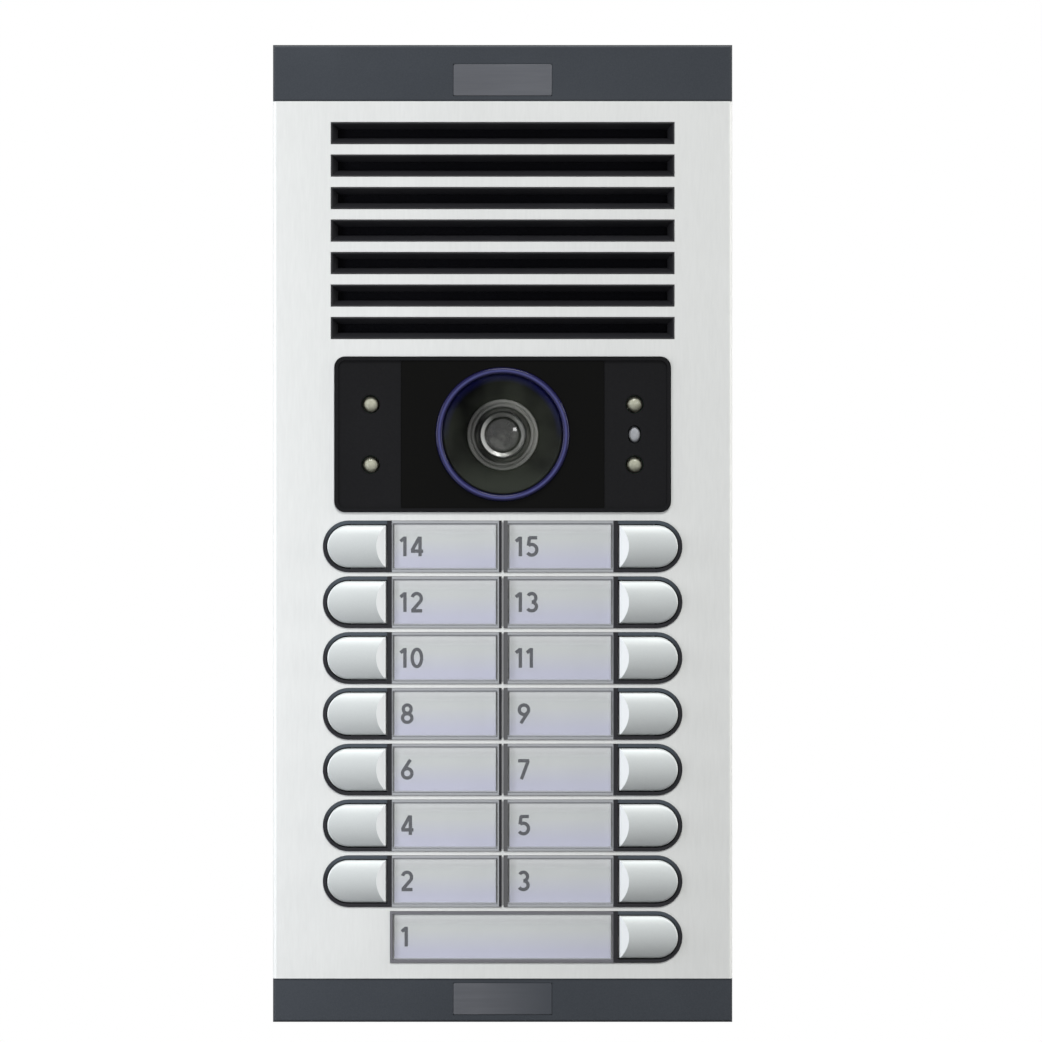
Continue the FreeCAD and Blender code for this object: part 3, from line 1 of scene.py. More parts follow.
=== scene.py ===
# %% [markdown]
# A door panel for a block with fifteen calls: an extruded aluminium front between two dark end
# caps, with louvres in front of a loudspeaker, a black camera window, and rows of call buttons
# beside lit name windows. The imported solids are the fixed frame. This lesson loads them, gives
# each one its finish, and replaces the pieces whose small rounded forms the solids leave plain.

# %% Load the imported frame
import json
import math
import bmesh
import bpy
import numpy as np
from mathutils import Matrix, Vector


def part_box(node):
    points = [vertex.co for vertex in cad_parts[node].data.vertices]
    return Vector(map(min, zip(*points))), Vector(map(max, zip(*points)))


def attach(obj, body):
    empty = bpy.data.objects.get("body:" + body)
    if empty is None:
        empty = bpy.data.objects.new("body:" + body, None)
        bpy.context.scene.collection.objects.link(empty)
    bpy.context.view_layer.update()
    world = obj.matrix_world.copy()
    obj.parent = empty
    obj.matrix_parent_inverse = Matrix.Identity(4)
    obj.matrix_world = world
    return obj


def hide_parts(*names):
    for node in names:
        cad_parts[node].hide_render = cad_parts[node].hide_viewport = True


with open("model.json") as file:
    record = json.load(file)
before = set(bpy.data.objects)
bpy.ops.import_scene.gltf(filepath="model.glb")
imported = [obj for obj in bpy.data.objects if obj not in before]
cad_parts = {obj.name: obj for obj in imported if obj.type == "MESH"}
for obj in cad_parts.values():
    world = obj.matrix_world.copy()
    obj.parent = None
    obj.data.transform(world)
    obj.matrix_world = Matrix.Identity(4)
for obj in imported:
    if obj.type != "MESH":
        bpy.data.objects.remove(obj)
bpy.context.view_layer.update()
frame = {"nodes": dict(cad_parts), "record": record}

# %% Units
MM = 0.001

# %% [markdown]
# The photographer stood straight in front of the panel, so all four sides of its outline stay
# straight. A long lens from 1.6 metres does the same: it flattens the view, and it still shows a
# little of the walls of each louvre. The aim is a few millimetres to the right of the panel's
# middle and above it, because the panel isn't quite in the middle of the picture.

# %% Camera
FACE_LEVEL = 36.0
CAMERA_DISTANCE = 1600.0
PICTURE_WIDTH = 317.5
PICTURE_MIDDLE = (5.6, 3.8)
lens_view = bpy.data.cameras.new("front_view")
lens_view.sensor_width = 36.0
lens_view.lens = lens_view.sensor_width * CAMERA_DISTANCE / PICTURE_WIDTH
camera = bpy.data.objects.new("front_view", lens_view)
camera.location = Vector((PICTURE_MIDDLE[0], -FACE_LEVEL - CAMERA_DISTANCE, PICTURE_MIDDLE[1])) * MM
camera.rotation_euler = (math.pi / 2, 0, 0)
bpy.context.scene.collection.objects.link(camera)
bpy.context.scene.camera = camera
bpy.context.scene.view_settings.view_transform = "Standard"
print("focal length:", round(lens_view.lens, 1), "mm")

# %% [markdown]
# Soft lamps light it. A wide one hangs high in front, so the crowned buttons are light above and
# grey below. A tall narrow one stands close by at the left, and makes the face fade from left to
# right. Two at the sides shine almost along the face: they hardly light it, but they catch the
# sloping facets of the buttons. A small one draws the spark on the lens. Those at the left are a
# little cool and the one at the right a little warm, as window light and room light are.

# %% Lamps
def softbox(name, place, size, watts, colour):
    """A rectangle of light at a place in metres, turned towards the middle of the panel."""
    light = bpy.data.lights.new(name, "AREA")
    light.color = colour
    light.shape = "RECTANGLE"
    light.size = size[0]
    light.size_y = size[1]
    light.energy = watts
    lamp = bpy.data.objects.new(name, light)
    lamp.location = place
    aim = Vector((0, -FACE_LEVEL * MM, 0)) - Vector(place)
    lamp.rotation_euler = aim.to_track_quat("-Z", "Y").to_euler()
    bpy.context.scene.collection.objects.link(lamp)


softbox("high_lamp", (0.20, -1.72, 2.50), (1.6, 0.8), 72.0, (0.99, 1.0, 0.985))
softbox("near_lamp", (-0.17, -0.17, -0.06), (0.05, 0.7), 0.50, (0.93, 0.955, 1.0))
softbox("left_lamp", (-1.3, -0.16, 0.25), (0.3, 0.9), 7.5, (0.96, 0.98, 1.0))
softbox("right_lamp", (1.3, -0.16, 0.25), (0.3, 0.9), 8.5, (1.0, 0.99, 0.95))
softbox("spark_lamp", (0.81, -1.21, 0.42), (0.24, 0.24), 2.0, (1.0, 1.0, 1.0))

# %% [markdown]
# The world is a white room for what the camera sees directly, in a mirror or through glass, and a
# dimmer one for the light that it sheds, so that the lamps still shape the object.

# %% Node helpers
def add(tree, kind, inputs=None, **settings):
    """Place a node, give its plain inputs their values and join the linked ones."""
    node = tree.nodes.new(kind)
    for key, value in settings.items():
        setattr(node, key, value)
    for key, value in (inputs or {}).items():
        if isinstance(value, bpy.types.NodeSocket):
            tree.links.new(value, node.inputs[key])
        else:
            node.inputs[key].default_value = value
    return node.outputs


def maths(tree, operation, first, second=0.0):
    """One sum of two numbers."""
    return add(tree, "ShaderNodeMath", {0: first, 1: second}, operation=operation)[0]


def product(tree, first, *others):
    """Numbers or masks multiplied together. A product of masks is a mask of where all of them are."""
    for other in others:
        first = maths(tree, "MULTIPLY", first, other)
    return first


def distance(tree, value, middle):
    """How far a value is from a middle, to either side."""
    return maths(tree, "ABSOLUTE", maths(tree, "SUBTRACT", value, middle))


def mixed(tree, amount, first, second):
    """A colour between two others."""
    return add(tree, "ShaderNodeMix", {0: amount, 6: first, 7: second}, data_type="RGBA")[2]


def spread(tree, value, low, high, to_low=0.0, to_high=1.0):
    """Stretch the part of a value between low and high to a new range, and hold it there."""
    ends = {0: value, 1: low, 2: high, 3: to_low, 4: to_high}
    return add(tree, "ShaderNodeMapRange", ends)[0]


def display(red, green, blue):
    """The colour that shows on a screen as these three numbers out of 255."""
    shown = np.array([red, green, blue]) / 255
    straight = np.where(shown < 0.04045, shown / 12.92, ((shown + 0.055) / 1.055) ** 2.4)
    return (*straight.tolist(), 1.0)


# %% World
WHITE = (1.0, 1.0, 1.0, 1.0)
ROOM_LIGHT = 0.02


def seen_directly(tree, path):
    """A mask that is 1 for the camera's own rays and for those by way of a mirror or of glass."""
    mirrored = maths(tree, "MAXIMUM", path["Is Camera Ray"], path["Is Glossy Ray"])
    return maths(tree, "MAXIMUM", mirrored, path["Is Transmission Ray"])


world = bpy.data.worlds.new("white_room")
world.use_nodes = True
bpy.context.scene.world = world
sky = world.node_tree
path = add(sky, "ShaderNodeLightPath")
seen = seen_directly(sky, path)
strength = spread(sky, seen, 0.0, 1.0, ROOM_LIGHT, 1.0)
sky.nodes["Background"].inputs["Color"].default_value = WHITE
sky.links.new(strength, sky.nodes["Background"].inputs["Strength"])
print("room light on the object:", ROOM_LIGHT)

# %% [markdown]
# Below the panel lies a pale floor. Near the panel it takes the lamps' light and keeps the
# panel's shadow. Further out it fades to the white of the room, so no edge shows. A floor of
# white paper would throw so much light up that the undersides of the buttons went flat, so the
# light that it sheds on the object is that of a darker grey.

# %% Floor
FLOOR_LEVEL = -0.18
FLOOR_REACH = 3.0
FADE = (0.12, 0.20)
corners = np.array([[-1, -1], [1, -1], [1, 1], [-1, 1]]) * FLOOR_REACH
floor_mesh = bpy.data.meshes.new("floor")
floor_mesh.from_pydata([(x, y, FLOOR_LEVEL) for x, y in corners.tolist()], [], [(0, 1, 2, 3)])
floor = bpy.data.objects.new("floor", floor_mesh)
bpy.context.scene.collection.objects.link(floor)
paper = bpy.data.materials.new("pale_paper")
paper.use_nodes = True
tree = paper.node_tree
matt = tree.nodes["Principled BSDF"]
matt.inputs["Roughness"].default_value = 0.9
here = add(tree, "ShaderNodeTexCoord")["Object"]
away = add(tree, "ShaderNodeVectorMath", {0: here, 1: (1, 1, 0)}, operation="MULTIPLY")[0]
away = add(tree, "ShaderNodeVectorMath", {0: away}, operation="LENGTH")["Value"]
path = add(tree, "ShaderNodeLightPath")
fade = product(tree, spread(tree, away, *FADE), seen_directly(tree, path))
tone = mixed(tree, path["Is Diffuse Ray"], display(240, 240, 240), display(70, 70, 70))
tree.links.new(tone, matt.inputs["Base Color"])
glow = add(tree, "ShaderNodeEmission", {"Color": WHITE, "Strength": 1.0})[0]
both = add(tree, "ShaderNodeMixShader", {0: fade, 1: matt.outputs[0], 2: glow})[0]
tree.links.new(both, tree.nodes["Material Output"].inputs["Surface"])
floor_mesh.materials.append(paper)
print("floor at", FLOOR_LEVEL, "m")

# %% [markdown]
# No real surface has one flat colour. Anodised metal, moulded plastic and rubber all have a fine
# grain that catches light, and broad faint clouds where they are a little lighter or glossier.
# Both come from noise on the object's own coordinates, so the pattern stays on the piece. They
# are in one node group, because every finish uses them, each with its own scale and stretch.

# %% Grain group
def new_group(name, inputs, outputs):
    """An empty node group with named inputs, given as (name, kind, value), and number outputs."""
    group = bpy.data.node_groups.new(name, "ShaderNodeTree")
    for label, kind, value in inputs:
        socket = group.interface.new_socket(label, in_out="INPUT", socket_type=kind)
        socket.default_value = value
    for label in outputs:
        group.interface.new_socket(label, in_out="OUTPUT", socket_type="NodeSocketFloat")
    given = group.nodes.new("NodeGroupInput").outputs
    wanted = group.nodes.new("NodeGroupOutput").inputs
    return group, given, wanted


NUMBER = "NodeSocketFloat"
grain, given, wanted = new_group(
    "grain_and_clouds",
    [("Grain Scale", NUMBER, 1500.0), ("Cloud Scale", NUMBER, 25.0),
     ("Stretch", "NodeSocketVector", (1.0, 1.0, 1.0))],
    ["Grain", "Clouds"],
)
here = add(grain, "ShaderNodeTexCoord")["Object"]
pulled = add(grain, "ShaderNodeMapping", {"Vector": here, "Scale": given["Stretch"]})[0]
fine = {"Vector": pulled, "Scale": given["Grain Scale"], "Detail": 3.0, "Roughness": 0.55}
broad = {"Vector": pulled, "Scale": given["Cloud Scale"], "Detail": 4.0, "Roughness": 0.5}
grain.links.new(add(grain, "ShaderNodeTexNoise", fine)[0], wanted["Grain"])
grain.links.new(add(grain, "ShaderNodeTexNoise", broad)[0], wanted["Clouds"])
print("node group:", grain.name)

# %% [markdown]
# Hands and weather leave marks: soft patches that are a little duller than the rest. They are
# noise too, but only its peaks count, so most of the surface stays clean.

# %% Smudge group
PEAKS = (0.52, 0.70)
smudge, given, wanted = new_group("smudges", [("Size", NUMBER, 0.02)], ["Mask"])
here = add(smudge, "ShaderNodeTexCoord")["Object"]
rate = maths(smudge, "DIVIDE", 1.0, given["Size"])
patches = add(smudge, "ShaderNodeTexNoise", {"Vector": here, "Scale": rate, "Detail": 5.0})[0]
smudge.links.new(spread(smudge, patches, *PEAKS), wanted["Mask"])
print("node group:", smudge.name)

# %% [markdown]
# A finish is a Principled shader, fed by those two groups. Its colour lies between a light and a
# dark shade, its roughness between two values, and its grain stands up by a few thousandths of a
# millimetre. Grip says how much of the colour follows the fine grain, and the rest follows the
# clouds. Values that are the same all over, such as gloss, stand on the shader's own sockets.

# %% Finishes
FINISHES = {}
SMUDGE_SIZE = 0.02
NOISE_MIDDLE = (0.35, 0.65)


class Finish:
    """A material for one slot, with its grain, clouds and smudges, open to further nodes."""

    def __init__(self, slot, light, dark, rough, grain_scale, relief, stretch=(1, 1, 1),
                 cloud_scale=25.0, grip=0.5, gloss=0.5, **plain):
        self.material = bpy.data.materials.new(slot)
        self.material.use_nodes = True
        self.tree = self.material.node_tree
        self.shader = self.tree.nodes["Principled BSDF"].inputs
        self.shader["Specular IOR Level"].default_value = gloss
        for label, value in plain.items():
            self.shader[label.replace("_", " ")].default_value = value
        marks = add(self.tree, "ShaderNodeGroup", node_tree=smudge)
        marks[0].node.inputs["Size"].default_value = SMUDGE_SIZE
        noise = add(self.tree, "ShaderNodeGroup", node_tree=grain)
        for label, value in (("Grain Scale", grain_scale), ("Cloud Scale", cloud_scale),
                             ("Stretch", stretch)):
            noise[0].node.inputs[label].default_value = value
        blend = maths(self.tree, "ADD", product(self.tree, noise["Clouds"], 1 - grip),
                      product(self.tree, noise["Grain"], grip))
        lightness = spread(self.tree, blend, *NOISE_MIDDLE)
        self.colour = mixed(self.tree, lightness, display(*dark), display(*light))
        self.rough = spread(self.tree, marks["Mask"], 0.0, 1.0, *rough)
        self.height = noise["Grain"]
        self.relief = relief
        self.links = {}
        FINISHES[slot] = self

    def ramp(self, place, start, full, share=1.0):
        """A mask that grows from 0 at one place to its full share at another, both in mm."""
        return spread(self.tree, place, start * MM, full * MM, 0.0, share)

    def tinted(self, amount, colour):
        """Mix another colour over the present one."""
        self.colour = mixed(self.tree, amount, self.colour, colour)

    def finish(self):
        """Join colour, roughness and relief to the shader."""
        joined = {"Base Color": self.colour, "Roughness": self.rough, **self.links}
        for label, value in joined.items():
            self.tree.links.new(value, self.shader[label])
        bump = {"Height": self.height, "Distance": self.relief * MM, "Strength": 1.0}
        normal = add(self.tree, "ShaderNodeBump", bump)[0]
        self.tree.links.new(normal, self.shader["Normal"])
        return self.material

    def place(self):
        """The three object coordinates of a point, in metres."""
        here = add(self.tree, "ShaderNodeTexCoord")["Object"]
        return add(self.tree, "ShaderNodeSeparateXYZ", {0: here})


# %% [markdown]
# The face is an extrusion, blasted and anodised: a very fine matt silver whose faint streaks run
# up and down, the way the profile left its die. The end caps are the same kind of metal under a
# charcoal coat.

# %% Metal finishes
Finish("face_aluminium", (234, 235, 234), (228, 229, 228), (0.42, 0.50),
       1400.0, 0.004, (1, 1, 0.12), Metallic=0.08)
Finish("cap_charcoal", (64, 68, 74), (56, 60, 66), (0.40, 0.48),
       2200.0, 0.012, Metallic=0.1, gloss=0.2)
Finish("inlay_grey", (94, 96, 102), (84, 86, 92), (0.30, 0.40),
       900.0, 0.006, (0.06, 1, 1), Metallic=0.3)
Finish("zinc_steel", (205, 207, 210), (180, 183, 188), (0.28, 0.42),
       300.0, 0.010, cloud_scale=140.0, Metallic=0.9)
Finish("speaker_steel", (120, 122, 126), (104, 106, 110), (0.35, 0.45),
       1200.0, 0.006, Metallic=0.85)
print("metals:", sorted(FINISHES))

# %% [markdown]
# The frame of the camera window and the collars are black plastic from a spark-eroded mould, so
# they are matt. The plate in the middle of the window is polished. Rubber and foam are duller
# still, and the foam shows its cells.

# %% Plastic, rubber and foam finishes
Finish("black_plastic", (21, 21, 23), (15, 15, 17), (0.52, 0.62), 1600.0, 0.030, gloss=0.10)
Finish("louvre_plastic", (40, 40, 43), (33, 33, 36), (0.30, 0.38), 1600.0, 0.015, gloss=0.45)
Finish("gloss_black", (12, 12, 11), (9, 9, 8), (0.10, 0.20), 1500.0, 0.001, gloss=0.06)
Finish("rubber_black", (34, 34, 35), (26, 26, 27), (0.70, 0.80), 1300.0, 0.040, gloss=0.3)
Finish("foam_grey", (92, 93, 95), (70, 71, 73), (0.85, 0.95), 900.0, 0.120, gloss=0.2)
Finish("ferrite", (58, 57, 56), (46, 45, 44), (0.55, 0.70), 1100.0, 0.040, gloss=0.4)
Finish("film", (150, 146, 136), (136, 132, 122), (0.35, 0.45), 700.0, 0.010, gloss=0.4)
Finish("terminal_green", (58, 122, 78), (48, 108, 68), (0.40, 0.50), 1500.0, 0.015, gloss=0.4)
Finish("board_green", (28, 84, 52), (22, 70, 42), (0.25, 0.35),
       500.0, 0.010, cloud_scale=90.0, gloss=0.5)
Finish("opal", (236, 236, 232), (228, 228, 224), (0.45, 0.55), 900.0, 0.008, gloss=0.4)
Finish("sensor_black", (20, 20, 22), (15, 15, 17), (0.15, 0.25), 900.0, 0.002, gloss=0.4)
Finish("sensor_grey", (188, 190, 194), (150, 152, 158), (0.29, 0.34),
       900.0, 0.006, cloud_scale=260.0, gloss=0.5)
print("finishes so far:", len(FINISHES))

# %% [markdown]
# The cloth behind the louvres keeps rain off the loudspeaker. It is woven, so its relief is two
# crossed waves, one for each set of threads, and a thread is higher where it passes over.

# %% Membrane cloth
THREAD_PITCH = 0.7
cloth = Finish("membrane_cloth", (26, 26, 30), (16, 16, 19), (0.80, 0.90),
               1500.0, 0.060, gloss=0.02)
x, _, z = cloth.place()
turns = 2 * math.pi / (THREAD_PITCH * MM)
wave_x = maths(cloth.tree, "SINE", product(cloth.tree, x, turns))
wave_z = maths(cloth.tree, "SINE", product(cloth.tree, z, turns))
cloth.height = product(cloth.tree, wave_x, wave_z)
print("threads every", THREAD_PITCH, "mm")

# %% [markdown]
# The ring round the lens is translucent blue plastic. Its rounded crest shows the violet of the
# plastic, and both flanks carry a painted shade of deep navy, as if light came through the ring
# only at its crest. So its colour follows the distance from the lens axis.

# %% Ring finish
LENS_HEIGHT = 30.2


def lens_reach(finish):
    """The distance of a point from the lens axis, and its place across and above that axis."""
    x, _, z = finish.place()
    rise = maths(finish.tree, "SUBTRACT", z, LENS_HEIGHT * MM)
    squares = product(finish.tree, x, x), product(finish.tree, rise, rise)
    return maths(finish.tree, "SQRT", maths(finish.tree, "ADD", *squares)), x, rise


RING_CREST = 19.35
CREST_HALF = 0.10
FLANK_FROM = 0.50
ring = Finish("ring_blue", (80, 82, 136), (68, 70, 120), (0.20, 0.26), 800.0, 0.006, gloss=0.2)
reach = lens_reach(ring)[0]
off_crest = distance(ring.tree, reach, RING_CREST * MM)
# painted shade: the flanks on either side of the crest turn deep navy
ring.tinted(ring.ramp(off_crest, CREST_HALF, FLANK_FROM), display(18, 16, 62))
print("ring crest at radius", RING_CREST, "mm")

# %% [markdown]
# The mouth of the funnel behind the ring carries painted blue light from the ring, most of all on
# the upper half, which faces away from the lamps and has no brighter light on it.

# %% Funnel finish
BLUE_LIGHT_FROM = 16.0
BLUE_LIGHT_FULL = 17.4
funnel = Finish("funnel_black", (21, 21, 23), (15, 15, 17), (0.52, 0.62), 1600.0, 0.004, gloss=0.10)
reach, _, rise = lens_reach(funnel)
at_mouth = funnel.ramp(reach, BLUE_LIGHT_FROM, BLUE_LIGHT_FULL)
upper = funnel.ramp(rise, -2.0, 10.0)
# painted light: the ring's blue on the funnel's mouth, strongest on the upper half
funnel.tinted(product(funnel.tree, at_mouth, upper), display(34, 36, 112))
print("blue on the funnel from radius", BLUE_LIGHT_FROM, "mm")

# %% [markdown]
# The lens barrel is black anodised, and its inner cone was turned bright afterwards. The same
# distance from the axis tells the two apart. The cone gets a painted highlight at its lower left.
# The grey ring of the lens holder gets painted shade at its left and painted light at its upper
# right.

# %% Barrel and holder finishes
CONE_RADIUS = 6.75
CONE_BLUR = 0.1
SHINE_SLANT = 0.25
LEFT_PAINTED_SHADE = 0.4
barrel = Finish("lens_metal", (46, 46, 48), (34, 34, 36), (0.28, 0.34), 2500.0, 0.003, Metallic=0.5)
reach, x, rise = lens_reach(barrel)
turned_bright = barrel.ramp(reach, CONE_RADIUS, CONE_RADIUS - CONE_BLUR)
leftward = maths(barrel.tree, "ADD", x, product(barrel.tree, rise, SHINE_SLANT))
# painted highlight on the turned cone, brightest at its lower left
cone_painted_highlight = barrel.ramp(leftward, -1.8, -5.6)
cone_tone_with_highlight = mixed(barrel.tree, cone_painted_highlight, display(122, 122, 119), display(255, 255, 252))
barrel.tinted(turned_bright, cone_tone_with_highlight)
holder = Finish("holder_grey", (164, 164, 161), (146, 146, 143), (0.38, 0.50),
                1800.0, 0.010, Metallic=0.3)
_, x, rise = lens_reach(holder)
# painted shade on the left side of the holder
holder.tinted(holder.ramp(x, -1.0, -9.0, LEFT_PAINTED_SHADE), display(112, 112, 110))
# painted light on the upper right of the holder
painted_light_upper_right = holder.ramp(maths(holder.tree, "ADD", x, rise), 2.0, 13.0)
holder.tinted(painted_light_upper_right, display(222, 222, 216))
print("bright cone inside radius", CONE_RADIUS, "mm")

# %% [markdown]
# Much of the panel repeats from row to row: the windows, the cards and the collars. A mask that
# should repeat with them needs the height of a point within its row, which is the remainder of
# its height divided by the row pitch. Only the lowest row differs, so it has a mask of its own.

# %% Height within a row
ROW_PITCH = 17.0
BOTTOM_ROW = -122.95
ROW_HALF = ROW_PITCH / 2
BOTTOM_ROW_TOP = BOTTOM_ROW + ROW_HALF
EDGE_BLUR = 0.05


def row_height(finish, z):
    """The height above the foot of a row, in metres: from 0 to the row pitch, again and again."""
    above = maths(finish.tree, "SUBTRACT", z, (BOTTOM_ROW - ROW_HALF) * MM)
    return maths(finish.tree, "FLOORED_MODULO", above, ROW_PITCH * MM)


def bottom_row(finish, z):
    """A mask that is 1 in the lowest row."""
    return finish.ramp(z, BOTTOM_ROW_TOP, BOTTOM_ROW_TOP - EDGE_BLUR)


print("rows of", ROW_PITCH, "mm, the lowest at", BOTTOM_ROW, "mm")

# %% [markdown]
# Where two windows lie side by side, a narrow rib of the face is left between their openings. It
# stands between black collars, and a painted reflection of them makes it darker than the rest of the
# face.

# %% Painted reflection on the narrow ribs
RIB_HALF = 0.62
RIB_REACH = 7.4
RIB_BLUR = 0.3
RIB_TOP = 4.55
face = FINISHES["face_aluminium"]
x, _, z = face.place()
across = maths(face.tree, "ABSOLUTE", x)
narrow = face.ramp(across, RIB_HALF + EDGE_BLUR, RIB_HALF)
off_middle = distance(face.tree, row_height(face, z), ROW_HALF * MM)
beside_windows = face.ramp(off_middle, RIB_REACH + RIB_BLUR, RIB_REACH - RIB_BLUR)
below_camera = face.ramp(z, RIB_TOP, RIB_TOP - EDGE_BLUR)
above_lowest = spread(face.tree, bottom_row(face, z), 1.0, 0.0)
rib = product(face.tree, narrow, beside_windows, below_camera, above_lowest)
# painted reflection of the black collars darkens the rib
face.tinted(rib, display(158, 158, 160))
print("ribs up to", 2 * RIB_HALF, "mm wide")

# %% [markdown]
# Glass and clear plastic are seen through, so they need little colour and a sharp reflection. The
# name windows and the disc over the lens use alpha, which keeps what lies behind them in place.
# The disc's gloss is faint, because the little white that a glossy one picks up from the room
# comes out as a fine grain over the black funnel. The disc is paler towards its foot. The side
# walls of a window's tray are seen edge-on. A mask makes the plastic there denser at the top and
# bottom of each row, and paints it a milky grey with a faint painted glow, for the light that the
# edge of clear plastic gathers.

# %% Clear finishes
PANE_ALPHA = 0.12
WALL_ALPHA = 0.90
WALL_FROM = 6.55
glass = Finish("clear_glass", (74, 78, 68), (10, 12, 10), (0.03, 0.08),
               500.0, 0.0, cloud_scale=70.0, grip=0.0, gloss=0.04, Alpha=0.20)
_, _, rise = lens_reach(glass)
glass.tinted(glass.ramp(rise, -8.0, -15.0), display(92, 98, 86))
lit = Finish("led_clear", (246, 246, 222), (204, 204, 180), (0.08, 0.16),
             900.0, 0.004, cloud_scale=500.0, gloss=0.5, Alpha=0.62)
pane = Finish("name_clear", (214, 216, 218), (208, 210, 214), (0.16, 0.20),
              900.0, 0.001, gloss=0.2, Emission_Strength=0.25)
x, _, z = pane.place()
off_middle = distance(pane.tree, row_height(pane, z), ROW_HALF * MM)
wall = pane.ramp(off_middle, WALL_FROM, WALL_FROM + EDGE_BLUR)
pane.links["Alpha"] = spread(pane.tree, wall, 0.0, 1.0, PANE_ALPHA, WALL_ALPHA)
# painted glow on the tray walls: a milky grey in their colour and as emission
wall_glow_tone = display(176, 178, 182)
pane.tinted(wall, wall_glow_tone)
pane.links["Emission Color"] = mixed(pane.tree, wall, (0.0, 0.0, 0.0, 1.0), wall_glow_tone)
print("clear finishes:", glass.material.name, lit.material.name, pane.material.name)

# %% [markdown]
# The name cards are off-white print behind the windows. They are a warm grey at the top of each
# row and more lavender towards its foot, so their colour follows the height within the row. They
# carry a faint painted glow, as if lit from behind, which is stronger along the upper edge, where
# it lifts the shadow that the lip casts.

# %% Card finish
WARM_ABOVE = 10.5
LAVENDER_BELOW = 4.0
GLOW_FROM = 12.2
GLOW_FULL = 14.2
# the emission of the cards is a painted glow
card = Finish("card_grey", (208, 211, 209), (204, 207, 206), (0.55, 0.65),
              1200.0, 0.006, gloss=0.3, Emission_Strength=0.42)
_, _, z = card.place()
height = row_height(card, z)
card.tinted(card.ramp(height, WARM_ABOVE, LAVENDER_BELOW), display(192, 192, 214))
# painted glow: stronger along the upper edge of each card, over the lip's shadow
painted_glow_top = card.ramp(height, GLOW_FROM, GLOW_FULL)
glow = mixed(card.tree, painted_glow_top, (0.26, 0.27, 0.28, 1.0), (0.98, 0.99, 1.0, 1.0))
card.links["Emission Color"] = glow
print("card shade repeats every", ROW_PITCH, "mm")

# %% [markdown]
# The call buttons are plastic with a satin silver coat. The coat is flake in lacquer: tiny cells
# that differ a little in brightness, over a smooth crown. The facet at the inner end gets a painted
# highlight, lighter than the crown. Its faces carry the number 1 in an attribute of the mesh, which
# the finish reads, because no simple sum of coordinates follows the facet's curved edge.

# %% Button finish
FLAKE_SCALE = 3500.0
FLAKE_SHARE = 0.12
silver = Finish("button_silver", (209, 213, 213), (205, 209, 209), (0.36, 0.42),
                2600.0, 0.003, Metallic=0.06, gloss=0.22)
here = add(silver.tree, "ShaderNodeTexCoord")["Object"]
flakes = add(silver.tree, "ShaderNodeTexVoronoi", {"Vector": here, "Scale": FLAKE_SCALE})["Color"]
bright = add(silver.tree, "ShaderNodeSeparateColor", {0: flakes})[0]
silver.tinted(spread(silver.tree, bright, 0.0, 1.0, 0.0, FLAKE_SHARE), display(190, 193, 197))
# painted highlight: the facet is lighter than the crown
facet_highlight = add(silver.tree, "ShaderNodeAttribute", attribute_name="facet_highlight")["Fac"]
silver.tinted(facet_highlight, display(232, 234, 236))
print("flake cells:", round(1 / FLAKE_SCALE / MM, 2), "mm")

# %% [markdown]
# The carrier is one black moulding, but its lips above and below the name windows are painted a
# grey, for the light that they take through the clear windows. They lie between the middle webs
# and the bars beside the buttons, so a mask over the distance from the middle lightens them. The
# web to the right of the rib gets painted light, so it is lighter than the one to its left. The
# bottom row has one long window and no web, so there the mask has no gap in the middle, and the
# painted grey of the lips is darker and goes on round the window's left end. Round the buttons
# the lips are black, with painted light towards the top, where their rounded edge looks up at the
# light.

# %% Collar finish
BAR_END = 35.2
TOP_FROM = 10.0
TOP_FULL = 16.0
TOP_SHARE = 0.8
RIGHT_WEB = 1.0
RIGHT_WEB_HALF = 0.90
collar = Finish("collar_plastic", (40, 40, 44), (34, 34, 38), (0.45, 0.55),
                1600.0, 0.020, gloss=0.2)
x, _, z = collar.place()
across = maths(collar.tree, "ABSOLUTE", x)
lowest = bottom_row(collar, z)
painted_light_top = collar.ramp(row_height(collar, z), TOP_FROM, TOP_FULL, TOP_SHARE)
round_cap = collar.ramp(across, BAR_END, BAR_END + EDGE_BLUR)
# painted light towards the top of the lips round the buttons
collar.tinted(product(collar.tree, painted_light_top, round_cap), display(84, 92, 100))
off_web = distance(collar.tree, x, RIGHT_WEB * MM)
painted_light_right_web = collar.ramp(off_web, RIGHT_WEB_HALF + EDGE_BLUR, RIGHT_WEB_HALF)
# painted light on the web to the right of the rib
collar.tinted(painted_light_right_web, display(98, 98, 100))
print("web to the right of the rib:", 2 * RIGHT_WEB_HALF, "mm wide")

# %% Painted light on the lips beside the name windows
LEFT_LIP_START = -1.15
RIGHT_LIP_START = 1.58
LIP_END = 33.75
LONG_LIP_END = 33.40
after_left = collar.ramp(x, LEFT_LIP_START + EDGE_BLUR, LEFT_LIP_START)
after_right = collar.ramp(x, RIGHT_LIP_START - EDGE_BLUR, RIGHT_LIP_START)
before = collar.ramp(across, LIP_END, LIP_END - EDGE_BLUR)
after = maths(collar.tree, "MAXIMUM", maths(collar.tree, "MAXIMUM", after_left, after_right), lowest)
left_end = product(collar.tree, collar.ramp(x, -LONG_LIP_END, -LONG_LIP_END - EDGE_BLUR), lowest)
lips = maths(collar.tree, "MAXIMUM", product(collar.tree, after, before), left_end)
# painted light: the grey of the lips round the name windows
collar.tinted(lips, mixed(collar.tree, lowest, display(176, 178, 182), display(122, 121, 127)))
print("grey lips from", RIGHT_LIP_START, "to", LIP_END, "mm")

# %% [markdown]
# Deep in the lens one sees blurred greys: the coated inner glasses, with the dark edge of the iris
# round them. The greys are broad noise with painted shade over the upper half, and a clear coat
# over them gives the sharp spark.

